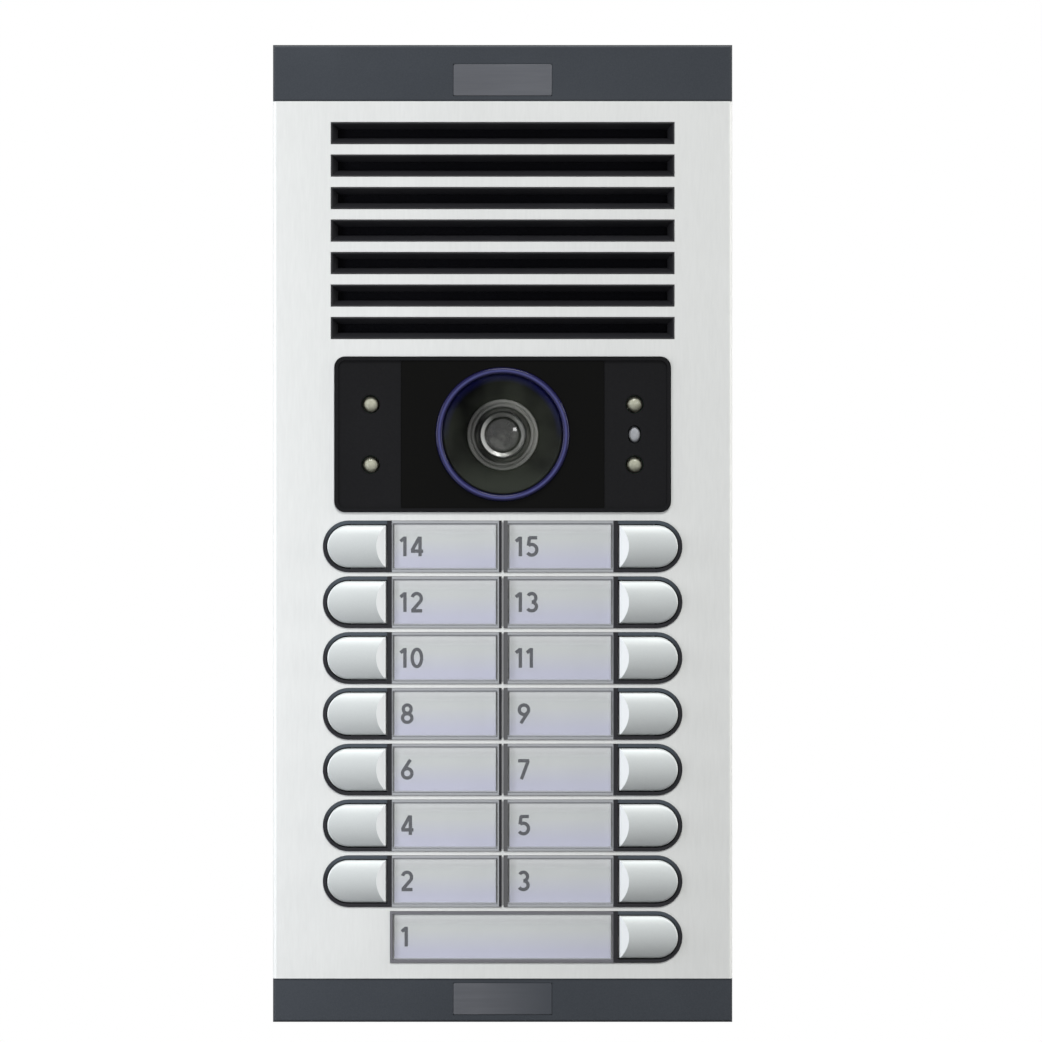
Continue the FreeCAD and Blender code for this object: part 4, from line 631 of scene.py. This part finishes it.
# %% Lens depth finish
IRIS_FROM = 4.2
IRIS_FULL = 4.7
UPPER_PAINTED_SHADE = 0.8
depth = Finish("lens_depth", (116, 116, 112), (26, 26, 26), (0.10, 0.14),
               300.0, 0.0, cloud_scale=330.0, grip=0.0, gloss=0.3,
               Coat_Weight=1.0, Coat_Roughness=0.03, Coat_IOR=1.8)
reach, _, rise = lens_reach(depth)
# painted shade darkens the upper half
depth.tinted(depth.ramp(rise, -0.5, 2.0, UPPER_PAINTED_SHADE), display(36, 36, 38))
depth.tinted(depth.ramp(reach, IRIS_FROM, IRIS_FULL), display(38, 38, 36))
print("lens depth:", depth.material.name)

# %% [markdown]
# The end caps get painted shade: the charcoal coat is darker where it turns over their front
# edges, with a mask from the distances to the outer edges and to the joint with the profile. The
# lower inlay plate gets painted shade towards its right end, with a mask across it.

# %% Painted shade on the end caps and the lower inlay
CAP_SIDE = 70.0
CAP_LEVELS = (-148.9, -135.6, 131.7, 148.9)
EDGE_BAND = 0.7
EDGE_PAINTED_SHADE = 0.6
coat = FINISHES["cap_charcoal"]
x, _, z = coat.place()
off_side = maths(coat.tree, "ABSOLUTE", x)
edge = coat.ramp(off_side, CAP_SIDE - EDGE_BAND, CAP_SIDE - EDGE_BAND / 2)
for end in CAP_LEVELS:
    off_end = distance(coat.tree, z, end * MM)
    near_end = coat.ramp(off_end, EDGE_BAND, EDGE_BAND / 2)
    edge = maths(coat.tree, "MAXIMUM", edge, near_end)
# painted shade along the edges of the end caps
coat.tinted(product(coat.tree, edge, EDGE_PAINTED_SHADE), display(34, 36, 40))
inlay = FINISHES["inlay_grey"]
x, _, z = inlay.place()
inlay_painted_shade = product(inlay.tree, inlay.ramp(x, -8.0, 14.0), inlay.ramp(z, 1.0, -1.0))
# painted shade over the right end of the lower inlay
inlay.tinted(inlay_painted_shade, display(60, 64, 71))
print("dark edges", EDGE_BAND, "mm wide")

# %% [markdown]
# The record gives each solid a slot, and the solid takes the finish with that slot's name. The
# carrier and the grille share one black plastic in the record, but each looks different where it
# shows, so both get a finish of their own.

# %% Give every solid its finish
materials = {slot: made.finish() for slot, made in FINISHES.items()}
for part in frame["record"]["subparts"]:
    node = frame["nodes"][part["node"]]
    node.data.materials.clear()
    node.data.materials.append(materials[part["material_slot"]])
for name, own in (("button_carrier", "collar_plastic"), ("louvre_grille", "louvre_plastic")):
    frame["nodes"][name].data.materials[0] = materials[own]

# %% [markdown]
# The new pieces are surfaces worked out with numpy. A surface is a grid of points, and each face
# joins a point to its three neighbours. A grid may close on itself in one direction, as a turned
# ring does. Points that fall together, such as all those of a pole, are merged.

# %% Grids to pieces
MERGE_REACH = 0.5e-6


def grid_faces(rows, columns, round_rows=False, round_columns=False):
    """Four corner numbers for each face: a point, the next down, across from it, and beside it."""
    row = np.arange(rows if round_rows else rows - 1)
    column = np.arange(columns if round_columns else columns - 1)
    row, column = np.meshgrid(row, column, indexing="ij")
    below = (row + 1) % rows
    beside = (column + 1) % columns
    corners = (row * columns + column, below * columns + column,
               below * columns + beside, row * columns + beside)
    return np.stack(corners, -1).reshape(-1, 4)


def make_piece(name, grids, body, slot, *nodes, sharp=32, material=None, facet_highlight=None):
    """Join grids of points in mm into one closed mesh in metres, and hand it to the frame. It takes
    the finish of its slot, or another that material names. Where some faces carry a painted
    highlight, facet_highlight holds a 1 for each of those and a 0 for each other one."""
    points = np.concatenate([grid.reshape(-1, 3) for grid, _ in grids]) * MM
    sizes = [grid.shape[0] * grid.shape[1] for grid, _ in grids]
    starts = np.cumsum([0] + sizes[:-1])
    faces = np.concatenate([corners + start for (_, corners), start in zip(grids, starts)])
    mesh = bpy.data.meshes.new(name)
    mesh.from_pydata(points, [], faces.tolist())
    if facet_highlight is not None:
        mesh.attributes.new("facet_highlight", "FLOAT", "FACE").data.foreach_set("value", facet_highlight)
    shape = bmesh.new()
    shape.from_mesh(mesh)
    bmesh.ops.remove_doubles(shape, verts=shape.verts, dist=MERGE_REACH)
    bmesh.ops.recalc_face_normals(shape, faces=shape.faces)
    shape.to_mesh(mesh)
    shape.free()
    mesh.polygons.foreach_set("use_smooth", np.ones(len(mesh.polygons), bool))
    mesh.set_sharp_from_angle(angle=math.radians(sharp))
    mesh.materials.append(materials[material or slot])
    piece = bpy.data.objects.new(name, mesh)
    bpy.context.scene.collection.objects.link(piece)
    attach(piece, body)
    if nodes:
        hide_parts(*nodes)
    low = points.min(0) / MM
    high = points.max(0) / MM
    print(name, "faces", len(mesh.polygons), "from", low.round(1), "to", high.round(1))


# %% [markdown]
# Round pieces are turned: a profile of radius against level is carried round an axis that points
# at the viewer. Level is the height above the wall, so it is minus Y. A profile's corners are
# rounded first, because nothing moulded or machined has a truly sharp edge.

# %% Turned pieces
LARGEST_SHARE = 0.45


def rounded(corners, radius, steps):
    """Put a short curve in place of each corner. It leaves one side a radius before the corner and
    meets the next a radius after it: (1 - t) squared of the start, 2 t (1 - t) of the corner, and
    t squared of the end. On a short side it keeps to less than half of that side."""
    corners = np.array(corners, float)
    radius = np.broadcast_to(np.array(radius, float).reshape(-1, 1), (len(corners), 1))

    def towards(other):
        step = other - corners
        length = np.linalg.norm(step, axis=1, keepdims=True)
        return corners + step * np.minimum(radius / length, LARGEST_SHARE)

    start = towards(np.roll(corners, 1, 0))[:, None]
    end = towards(np.roll(corners, -1, 0))[:, None]
    t = np.linspace(0, 1, steps)[None, :, None]
    curve = (1 - t) ** 2 * start + 2 * t * (1 - t) * corners[:, None] + t ** 2 * end
    return curve.reshape(-1, 2)


def turned(profile, middle, around, hoop=False):
    """Carry a profile of (radius, level) round: x = radius cos a, z = radius sin a, y = -level.
    A hoop's profile closes on itself. Any other starts and ends on the axis."""
    angle = np.linspace(0, 2 * math.pi, around, endpoint=False)
    radius, level = np.array(profile, float).T
    x = middle[0] + radius[:, None] * np.cos(angle)
    z = middle[1] + radius[:, None] * np.sin(angle)
    y = np.broadcast_to(-level[:, None], x.shape)
    return np.stack([x, y, z], -1), grid_faces(len(radius), around, hoop, True)


# %% [markdown]
# The blue ring stands one and a half millimetres proud of the face, with a round crest that the
# lamps draw a line along.

# %% Blue ring
LENS = (0.0, LENS_HEIGHT)
ring_corners = [(18.4, 31.0), (20.4, 31.0), (20.4, 37.5), (18.4, 37.5)]
ring_profile = rounded(ring_corners, [0.15, 0.15, 1.1, 0.95], 9)
make_piece("blue_lens_ring", [turned(ring_profile, LENS, 192, True)],
           "panel", "ring_blue", "lens_ring")

# %% [markdown]
# The clear disc is slightly domed, so rain runs off it and its reflections curve. The dome falls
# with the square of the radius, and its rim is a small round.

# %% Clear disc
DISC_BACK = 35.2
DISC_RIM = 36.2
DISC_DOME = 0.4
DISC_RADIUS = 18.3
DISC_ROUND = 0.25
RIM_ROUND = 0.2
share = np.linspace(0, 1, 24)[::-1]
dome = np.stack([share * (DISC_RADIUS - DISC_ROUND), DISC_RIM + DISC_DOME * (1 - share ** 2)], 1)
disc_side = [(0, DISC_BACK), (DISC_RADIUS, DISC_BACK), (DISC_RADIUS, DISC_RIM - RIM_ROUND)]
make_piece("clear_lens_disc", [turned(np.concatenate([disc_side, dome]), LENS, 160)],
           "panel", "clear_glass", "lens_window")

# %% [markdown]
# Behind the disc is a funnel. Its wall goes down in small steps, so light that comes in at an
# angle meets a step's shadow and never a smooth slope. The steps are a zigzag between the mouth
# and the throat: half of the points go in, the other half go down.

# %% Stepped funnel
funnel_low, funnel_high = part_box("lens_funnel")
THROAT_LEVEL = -funnel_high[1] / MM
MOUTH_LEVEL = -funnel_low[1] / MM
THROAT_RADIUS = 11.0
MOUTH_RADIUS = 17.8
STEPS = 13
inner_radii = np.repeat(np.linspace(THROAT_RADIUS, MOUTH_RADIUS, STEPS + 1), 2)[1:-1]
inner_levels = np.repeat(np.linspace(THROAT_LEVEL, MOUTH_LEVEL, STEPS + 1), 2)[:-2]
inner = np.stack([inner_radii, np.append(inner_levels[1:], MOUTH_LEVEL)], 1)
outer = [(18.3, MOUTH_LEVEL), (18.3, MOUTH_LEVEL - 1.2), (11.6, THROAT_LEVEL),
         (THROAT_RADIUS, THROAT_LEVEL)]
make_piece("stepped_funnel", [turned(np.concatenate([inner, outer]), LENS, 128, True)],
           "panel", "black_plastic", "lens_funnel", sharp=25, material="funnel_black")

# %% [markdown]
# The lens itself is a barrel screwed into a holder. The holder's front is a grey ring with a
# groove, then a dark gap, and the barrel stands in the middle with a bright turned rim. The
# holder stands on a square foot: a stack of flat outlines, one for each level.

# %% Stacks of flat outlines
NEAR_EDGE = 0.97


def flat_stack(x, z, levels, middle):
    """Closed outlines at rising levels. Both ends are drawn together in the middle, first a
    little, which keeps the shading of a flat end flat, and then all the way."""
    levels = np.array(levels, float)
    x = np.broadcast_to(x, (len(levels), np.shape(x)[-1]))
    z = np.broadcast_to(z, (len(levels), np.shape(z)[-1]))
    y = np.broadcast_to(-levels[:, None], x.shape)
    rows = np.stack([x, y, z], -1)
    foot = np.array((middle[0], -levels[0], middle[1]))
    top = np.array((middle[0], -levels[-1], middle[1]))
    draw = np.array([0.0, NEAR_EDGE])[:, None, None]
    foot_rows = foot + draw * (rows[0] - foot)
    top_rows = top + draw[::-1] * (rows[-1] - top)
    rows = np.concatenate([foot_rows, rows, top_rows])
    return rows, grid_faces(len(rows), rows.shape[1], False, True)


# %% Lens holder
holder_corners = [(10.9, 13.8), (10.9, 27.4), (10.0, 27.4), (9.7, 27.1), (9.4, 27.4), (8.6, 27.4),
                  (8.2, 25.2), (7.3, 25.0), (7.3, 13.8)]
FOOT_HALF = 11.0
foot_turn = np.arange(4) * math.pi / 2 + math.pi / 4
foot_x = FOOT_HALF * math.sqrt(2) * np.cos(foot_turn)
foot_z = LENS_HEIGHT + FOOT_HALF * math.sqrt(2) * np.sin(foot_turn)
holder_profile = rounded(holder_corners, [0.1, 0.3, 0.1, 0.1, 0.1, 0.3, 0.2, 0.2, 0.1], 4)
holder_foot = flat_stack(foot_x, foot_z, [11.8, 13.8], LENS)
make_piece("grey_lens_holder", [turned(holder_profile, LENS, 128, True), holder_foot],
           "panel", "holder_grey", "lens_holder")

# %% Barrel and front glass
barrel_corners = [(7.25, 16.2), (7.25, 30.2), (7.0, 30.2), (6.95, 29.5), (6.75, 29.4), (5.6, 28.9),
                  (5.55, 27.6), (4.6, 27.4), (4.6, 16.2)]
make_piece("lens_barrel_front", [turned(rounded(barrel_corners, 0.08, 4), LENS, 128, True)],
           "panel", "lens_metal", "lens_barrel")
GLASS_RADIUS = 5.5
GLASS_BACK = 27.6
GLASS_RIM = 27.75
GLASS_DOME = 1.25
share = np.linspace(0, 1, 20)[::-1]
glass_dome = np.stack([share * GLASS_RADIUS, GLASS_RIM + GLASS_DOME * (1 - share ** 2)], 1)
glass_side = [(0, GLASS_BACK), (GLASS_RADIUS, GLASS_BACK)]
make_piece("front_glass", [turned(np.concatenate([glass_side, glass_dome]), LENS, 96)],
           "panel", "clear_glass", "lens_glass", material="lens_depth")

# %% [markdown]
# Each lighting LED is the usual clear body with a round tip. Inside it sits a small bright cup
# with the lit chip, which shows through the tip. The pale oval between the two right ones is the
# light sensor's window.

# %% Lighting LEDs
LED_X = 40.2
LED_Z = 9.2
LED_RADIUS = 2.5
LED_FOOT = 26.9
TIP_FROM = 33.4
TIP_HEIGHT = 2.1
LED_SPOTS = [(side * LED_X, LENS_HEIGHT + rise * LED_Z) for side in (-1, 1) for rise in (-1, 1)]
turn = np.linspace(0, math.pi / 2, 12)
tip = np.stack([LED_RADIUS * np.cos(turn), TIP_FROM + TIP_HEIGHT * np.sin(turn)], 1)
led_profile = np.concatenate([[(0, LED_FOOT), (LED_RADIUS, LED_FOOT)], tip])
make_piece("clear_leds", [turned(led_profile, spot, 48) for spot in LED_SPOTS],
           "panel", "led_clear", "illumination_leds")
cup_corners = [(0, 30.2), (1.0, 30.2), (1.9, 31.8), (1.7, 31.8), (0.8, 30.5), (0, 30.5)]
make_piece("led_cups", [turned(cup_corners, spot, 32) for spot in LED_SPOTS], "panel", "sensor_grey")

# %% Light sensor
OVAL_HALF = (1.85, 2.65)
oval = np.linspace(0, 2 * math.pi, 48, endpoint=False)
draw_in = np.array([1.0, 1.0, 0.96, 0.84, 0.64, 0.36])[:, None]
oval_x = LED_X + OVAL_HALF[0] * draw_in * np.cos(oval)
oval_z = LENS_HEIGHT + OVAL_HALF[1] * draw_in * np.sin(oval)
oval_levels = [LED_FOOT, 34.4, 34.8, 35.15, 35.38, 35.5]
make_piece("light_sensor_window", [flat_stack(oval_x, oval_z, oval_levels, (LED_X, LENS_HEIGHT))],
           "panel", "sensor_grey", "light_sensor")

# %% [markdown]
# A call button has a flat inner end, a round outer end, a crown across it and a sloping facet at
# its inner end. Its top is a grid. Rows follow z = half sin a, so they crowd where the outline
# turns. Columns run from the inner end to the crease of the facet, and from there to the outer
# end, so the crease is a clean line of edges. Inside the panel a flange keeps the cap in its
# collar, and a plunger presses the rubber dome.

# %% Sizes of a call button
CAP_INNER = 35.45
CAP_OUTER = 53.35
CAP_HALF = 6.45
CAP_PEAK = 38.2
CAP_EDGE = 36.4
FACET_FOOT = 36.2
FACET_REACH = 3.0
CAP_ROUND = 0.5
PLUNGER_FOOT = 29.0
FLANGE_FOOT = 30.9
FLANGE_TOP = 31.9
FLANGE = (34.6, 46.4, 7.3)
PLUNGER = (42.4, 46.4, 2.0)
CAP_ROWS = 45
FACET_COLUMNS = 14
CROWN_COLUMNS = 40
CROWN_RADIUS = (CAP_HALF ** 2 / (CAP_PEAK - CAP_EDGE) + CAP_PEAK - CAP_EDGE) / 2
print("crown radius:", round(CROWN_RADIUS, 2), "mm")

# %% Shape of a call button
def eased(count):
    """Numbers from 0 to 1 that crowd at both ends: half of 1 - cos of an even turn."""
    return (1 - np.cos(np.linspace(0, math.pi, count))) / 2


def block(shape, side, row, low, high):
    """A straight block between two levels. Its shape is its inner end, outer end and half height."""
    inner, outer, half = shape
    x = side * np.array([inner, outer, outer, inner])
    z = row + half * np.array([-1, -1, 1, 1])
    return flat_stack(x, z, [low, high], (side * (inner + outer) / 2, row))


def button_grids(side, row):
    """Crown: a circle of one radius across z. Facet: a straight rise with x. The lower of the two
    counts, less a quarter round of the edge's radius where the outline is near."""
    z = CAP_HALF * np.sin(np.linspace(-math.pi / 2, math.pi / 2, CAP_ROWS))[:, None]
    crown = CAP_PEAK - CROWN_RADIUS + np.sqrt(CROWN_RADIUS ** 2 - z ** 2)
    slope = (CAP_PEAK - FACET_FOOT) / FACET_REACH
    crease = CAP_INNER + (crown - FACET_FOOT) / slope
    straight = CAP_OUTER - CAP_HALF
    end = straight + np.sqrt(np.maximum(CAP_HALF ** 2 - z ** 2, 0))
    near = CAP_INNER + (crease - CAP_INNER) * eased(FACET_COLUMNS)
    far = crease + (end - crease) * eased(CROWN_COLUMNS)[1:]
    x = np.concatenate([near, far], 1)
    z = np.broadcast_to(z, x.shape)
    from_arc = CAP_HALF - np.hypot(np.maximum(x - straight, 0), z)
    inside = np.clip(np.minimum(from_arc, x - CAP_INNER), 0, CAP_ROUND)
    drop = CAP_ROUND - np.sqrt(CAP_ROUND ** 2 - (CAP_ROUND - inside) ** 2)
    level = np.minimum(crown, FACET_FOOT + slope * (x - CAP_INNER)) - drop
    top = np.stack([side * x, -level, row + z], -1)
    rim = np.concatenate([top[0, :-1], top[:-1, -1], top[-1, :0:-1], top[:0:-1, 0]])
    low = rim * (1, 0, 1) + (0, -FLANGE_TOP, 0)
    centre = np.broadcast_to(low.mean(0), low.shape)
    skirt = np.stack([rim, low, centre])
    return [(top, grid_faces(*top.shape[:2])), (skirt, grid_faces(3, len(rim), False, True)),
            block(FLANGE, side, row, FLANGE_FOOT, FLANGE_TOP),
            block(PLUNGER, side, row, PLUNGER_FOOT, FLANGE_FOOT)]


# %% Fifteen call buttons
pair_rows = [BOTTOM_ROW + ROW_PITCH * row for row in range(1, 8)]
calls = [(1, 1, BOTTOM_ROW)]
for place, row in enumerate(pair_rows, 1):
    calls += [(2 * place, -1, row), (2 * place + 1, 1, row)]
for number, side, row in calls:
    grids = button_grids(side, row)
    order = np.arange(sum(len(corners) for _, corners in grids))
    crown_columns = grids[0][0].shape[1] - 1
    on_facet = (order < len(grids[0][1])) & (order % crown_columns < FACET_COLUMNS - 1)
    make_piece(f"call_button_{number:02d}", grids, f"button_{number:02d}", "button_silver",
               f"button_cap_{number:02d}", facet_highlight=on_facet.astype(np.float32))

# %% [markdown]
# The name windows are clear trays that drop into the collars from behind. Their front edges are
# bevelled, a flange at the back holds them, and the card lies in the hollow of the tray. So the
# outlines start at the roof of the hollow, go down its walls, out round the flange, and up to the
# bevelled front.

# %% Name windows
PANE_INNER = 1.65
PANE_OUTER = 33.45
PANE_HALF = 7.0
TRAY_ROOF = 34.58
CORNER_POINTS = 6
LEAST_ROUND = 0.02


def plate_outline(x_low, x_high, z_low, z_high, corner, inset):
    """A rectangle with quarter-circle corners, drawn in by each inset in turn."""
    quarter = np.linspace(0, math.pi / 2, CORNER_POINTS)
    turn = (np.arange(4)[:, None] * math.pi / 2 + quarter).reshape(-1)
    inset = np.array(inset, float)[:, None]
    right = np.repeat([1, -1, -1, 1], CORNER_POINTS)
    up = np.repeat([1, 1, -1, -1], CORNER_POINTS)
    round_off = np.maximum(corner - inset, LEAST_ROUND)
    half_x = (x_high - x_low) / 2 - inset - round_off
    half_z = (z_high - z_low) / 2 - inset - round_off
    x = (x_low + x_high) / 2 + right * half_x + round_off * np.cos(turn)
    z = (z_low + z_high) / 2 + up * half_z + round_off * np.sin(turn)
    return x, z


def plate(x_low, x_high, z_low, z_high, corner, insets, levels):
    """A flat plate: one outline for each level."""
    x, z = plate_outline(x_low, x_high, z_low, z_high, corner, insets)
    return flat_stack(x, z, levels, ((x_low + x_high) / 2, (z_low + z_high) / 2))


def window(x_low, x_high, row):
    """A pane with its hollow and its flange, as insets from the pane's outline, and levels."""
    insets = [0.4, 0.4, -0.6, -0.6, 0.0, 0.0, 0.1, 0.3]
    levels = [TRAY_ROOF, 32.0, 32.0, 33.0, 33.0, 34.95, 35.2, 35.3]
    return plate(x_low, x_high, row - PANE_HALF, row + PANE_HALF, 0.4, insets, levels)


make_piece("clear_windows_left", [window(-PANE_OUTER, -PANE_INNER, row) for row in pair_rows],
           "panel", "name_clear", "name_windows_left")
make_piece("clear_windows_right", [window(PANE_INNER, PANE_OUTER, row) for row in pair_rows],
           "panel", "name_clear", "name_windows_right")
make_piece("clear_window_long", [window(-PANE_OUTER, PANE_OUTER, BOTTOM_ROW)],
           "panel", "name_clear", "name_window_long")

# %% [markdown]
# A small plate with a bevelled edge is let into each end cap. Both are bare.

# %% Bare inlay plates
INLAY_HALF = 15
inlay_insets = [0.0, 0.0, 0.06, 0.2]
inlay_levels = [35.55, 35.9, 36.01, 36.05]
top_plate = plate(-INLAY_HALF, INLAY_HALF, 133.4, 143.0, 0.5, inlay_insets, inlay_levels)
make_piece("top_inlay", [top_plate], "panel", "inlay_grey", "top_inlay_plate")
bottom_plate = plate(-INLAY_HALF, INLAY_HALF, -146.6, -137.0, 0.5, inlay_insets, inlay_levels)
make_piece("bottom_inlay", [bottom_plate], "panel", "inlay_grey", "bottom_inlay_plate")

# %% [markdown]
# The numbers 1 to 15 are printed on the cards in plain strokes of one width. A digit is a few
# strokes, each an arc or a straight line, drawn in a box one unit tall. A thin ribbon follows
# each stroke, and a small step keeps it just above the card. The two digits of a number stand a
# little closer than full digits would, because the first of them is always a narrow 1.

# %% Strokes of the ten digits
def line(start, end):
    """A straight stroke: nine points from its start to its end."""
    return np.linspace(start, end, 9)


def arc(x, y, wide, tall, start, end):
    """Part of an ellipse: x + wide cos a and y + tall sin a, with a in degrees."""
    turn = np.radians(np.linspace(start, end, 28))
    return np.stack([x + wide * np.cos(turn), y + tall * np.sin(turn)], 1)


STROKES = {
    "0": [arc(0.30, 0.5, 0.24, 0.44, 0, 360)],
    "1": [line((0.02, 0.76), (0.25, 0.95)), line((0.25, 1.0), (0.25, 0.0))],
    "2": [arc(0.29, 0.69, 0.23, 0.25, 165, -43), line((0.458, 0.52), (0.06, 0.06)),
          line((0.01, 0.06), (0.57, 0.06))],
    "3": [arc(0.27, 0.72, 0.21, 0.22, 150, -90), arc(0.27, 0.28, 0.24, 0.22, 90, -150)],
    "4": [line((0.46, 1.0), (0.46, 0.0)), line((0.43, 0.97), (0.05, 0.29)),
          line((0.0, 0.26), (0.62, 0.26))],
    "5": [line((0.55, 0.94), (0.13, 0.94)), line((0.16, 0.97), (0.10, 0.54)),
          arc(0.27, 0.33, 0.26, 0.27, 128, -145)],
    "6": [arc(0.30, 0.30, 0.24, 0.24, 0, 360), line((0.46, 0.99), (0.09, 0.42))],
    "7": [line((0.0, 0.94), (0.57, 0.94)), line((0.52, 0.94), (0.17, 0.0))],
    "8": [arc(0.30, 0.73, 0.20, 0.21, 0, 360), arc(0.30, 0.28, 0.24, 0.22, 0, 360)],
    "9": [arc(0.30, 0.70, 0.24, 0.24, 0, 360), line((0.51, 0.58), (0.14, 0.01))],
}
print("digits:", "".join(STROKES))

# %% Printed numbers
DIGIT_HEIGHT = 6.0
STROKE_WIDTH = 0.172
INK_LEVELS = (34.505, 34.54)
INK_STEP = 0.006
DIGIT_STEP = 0.62
AFTER_ONE = 0.9
NUMBER_LEFT = {-1: (-30.9, -31.3), 1: (4.7, 3.9)}
ink = Finish("ink", (34, 37, 50), (28, 31, 44), (0.5, 0.6), 900.0, 0.0, gloss=0.1)
materials["ink"] = ink.finish()


def ribbon(stroke, left, low, order):
    """A flat band along a stroke: each point goes half a width to both sides, at a right angle to
    the way that the stroke takes, and the band's four long edges are a closed loop. Each stroke
    of a digit lies a hair above the one before, so that no two faces fall together."""
    way = np.gradient(stroke, axis=0)
    way = way / np.linalg.norm(way, axis=1, keepdims=True)
    aside = np.stack([-way[:, 1], way[:, 0]], 1) * STROKE_WIDTH / 2
    edges = np.stack([stroke - aside, stroke + aside, stroke + aside, stroke - aside], 1)
    level = np.repeat(INK_LEVELS, 2) + order * INK_STEP
    x = left + DIGIT_HEIGHT * edges[..., 0]
    z = low + DIGIT_HEIGHT * edges[..., 1]
    rows = np.stack([x, np.broadcast_to(-level, x.shape), z], -1)
    first = np.broadcast_to(rows[:1].mean(1, keepdims=True), rows[:1].shape)
    last = np.broadcast_to(rows[-1:].mean(1, keepdims=True), rows[:1].shape)
    rows = np.concatenate([first, rows, last])
    return rows, grid_faces(len(rows), 4, False, True)


def printed(number, side, row):
    """The ribbons of a number, with its left end in the usual place on its card."""
    text = str(number)
    left = NUMBER_LEFT[side][len(text) - 1]
    low = row - DIGIT_HEIGHT / 2
    bands = []
    for place, digit in enumerate(text):
        start = left + place * DIGIT_STEP * DIGIT_HEIGHT * AFTER_ONE
        bands += [ribbon(stroke, start, low, order) for order, stroke in enumerate(STROKES[digit])]
    return bands


bands = printed(1, -1, BOTTOM_ROW)
for number, side, row in calls[1:]:
    bands += printed(number, side, row)
make_piece("card_numbers", bands, "panel", "ink")
print("strokes:", len(bands))
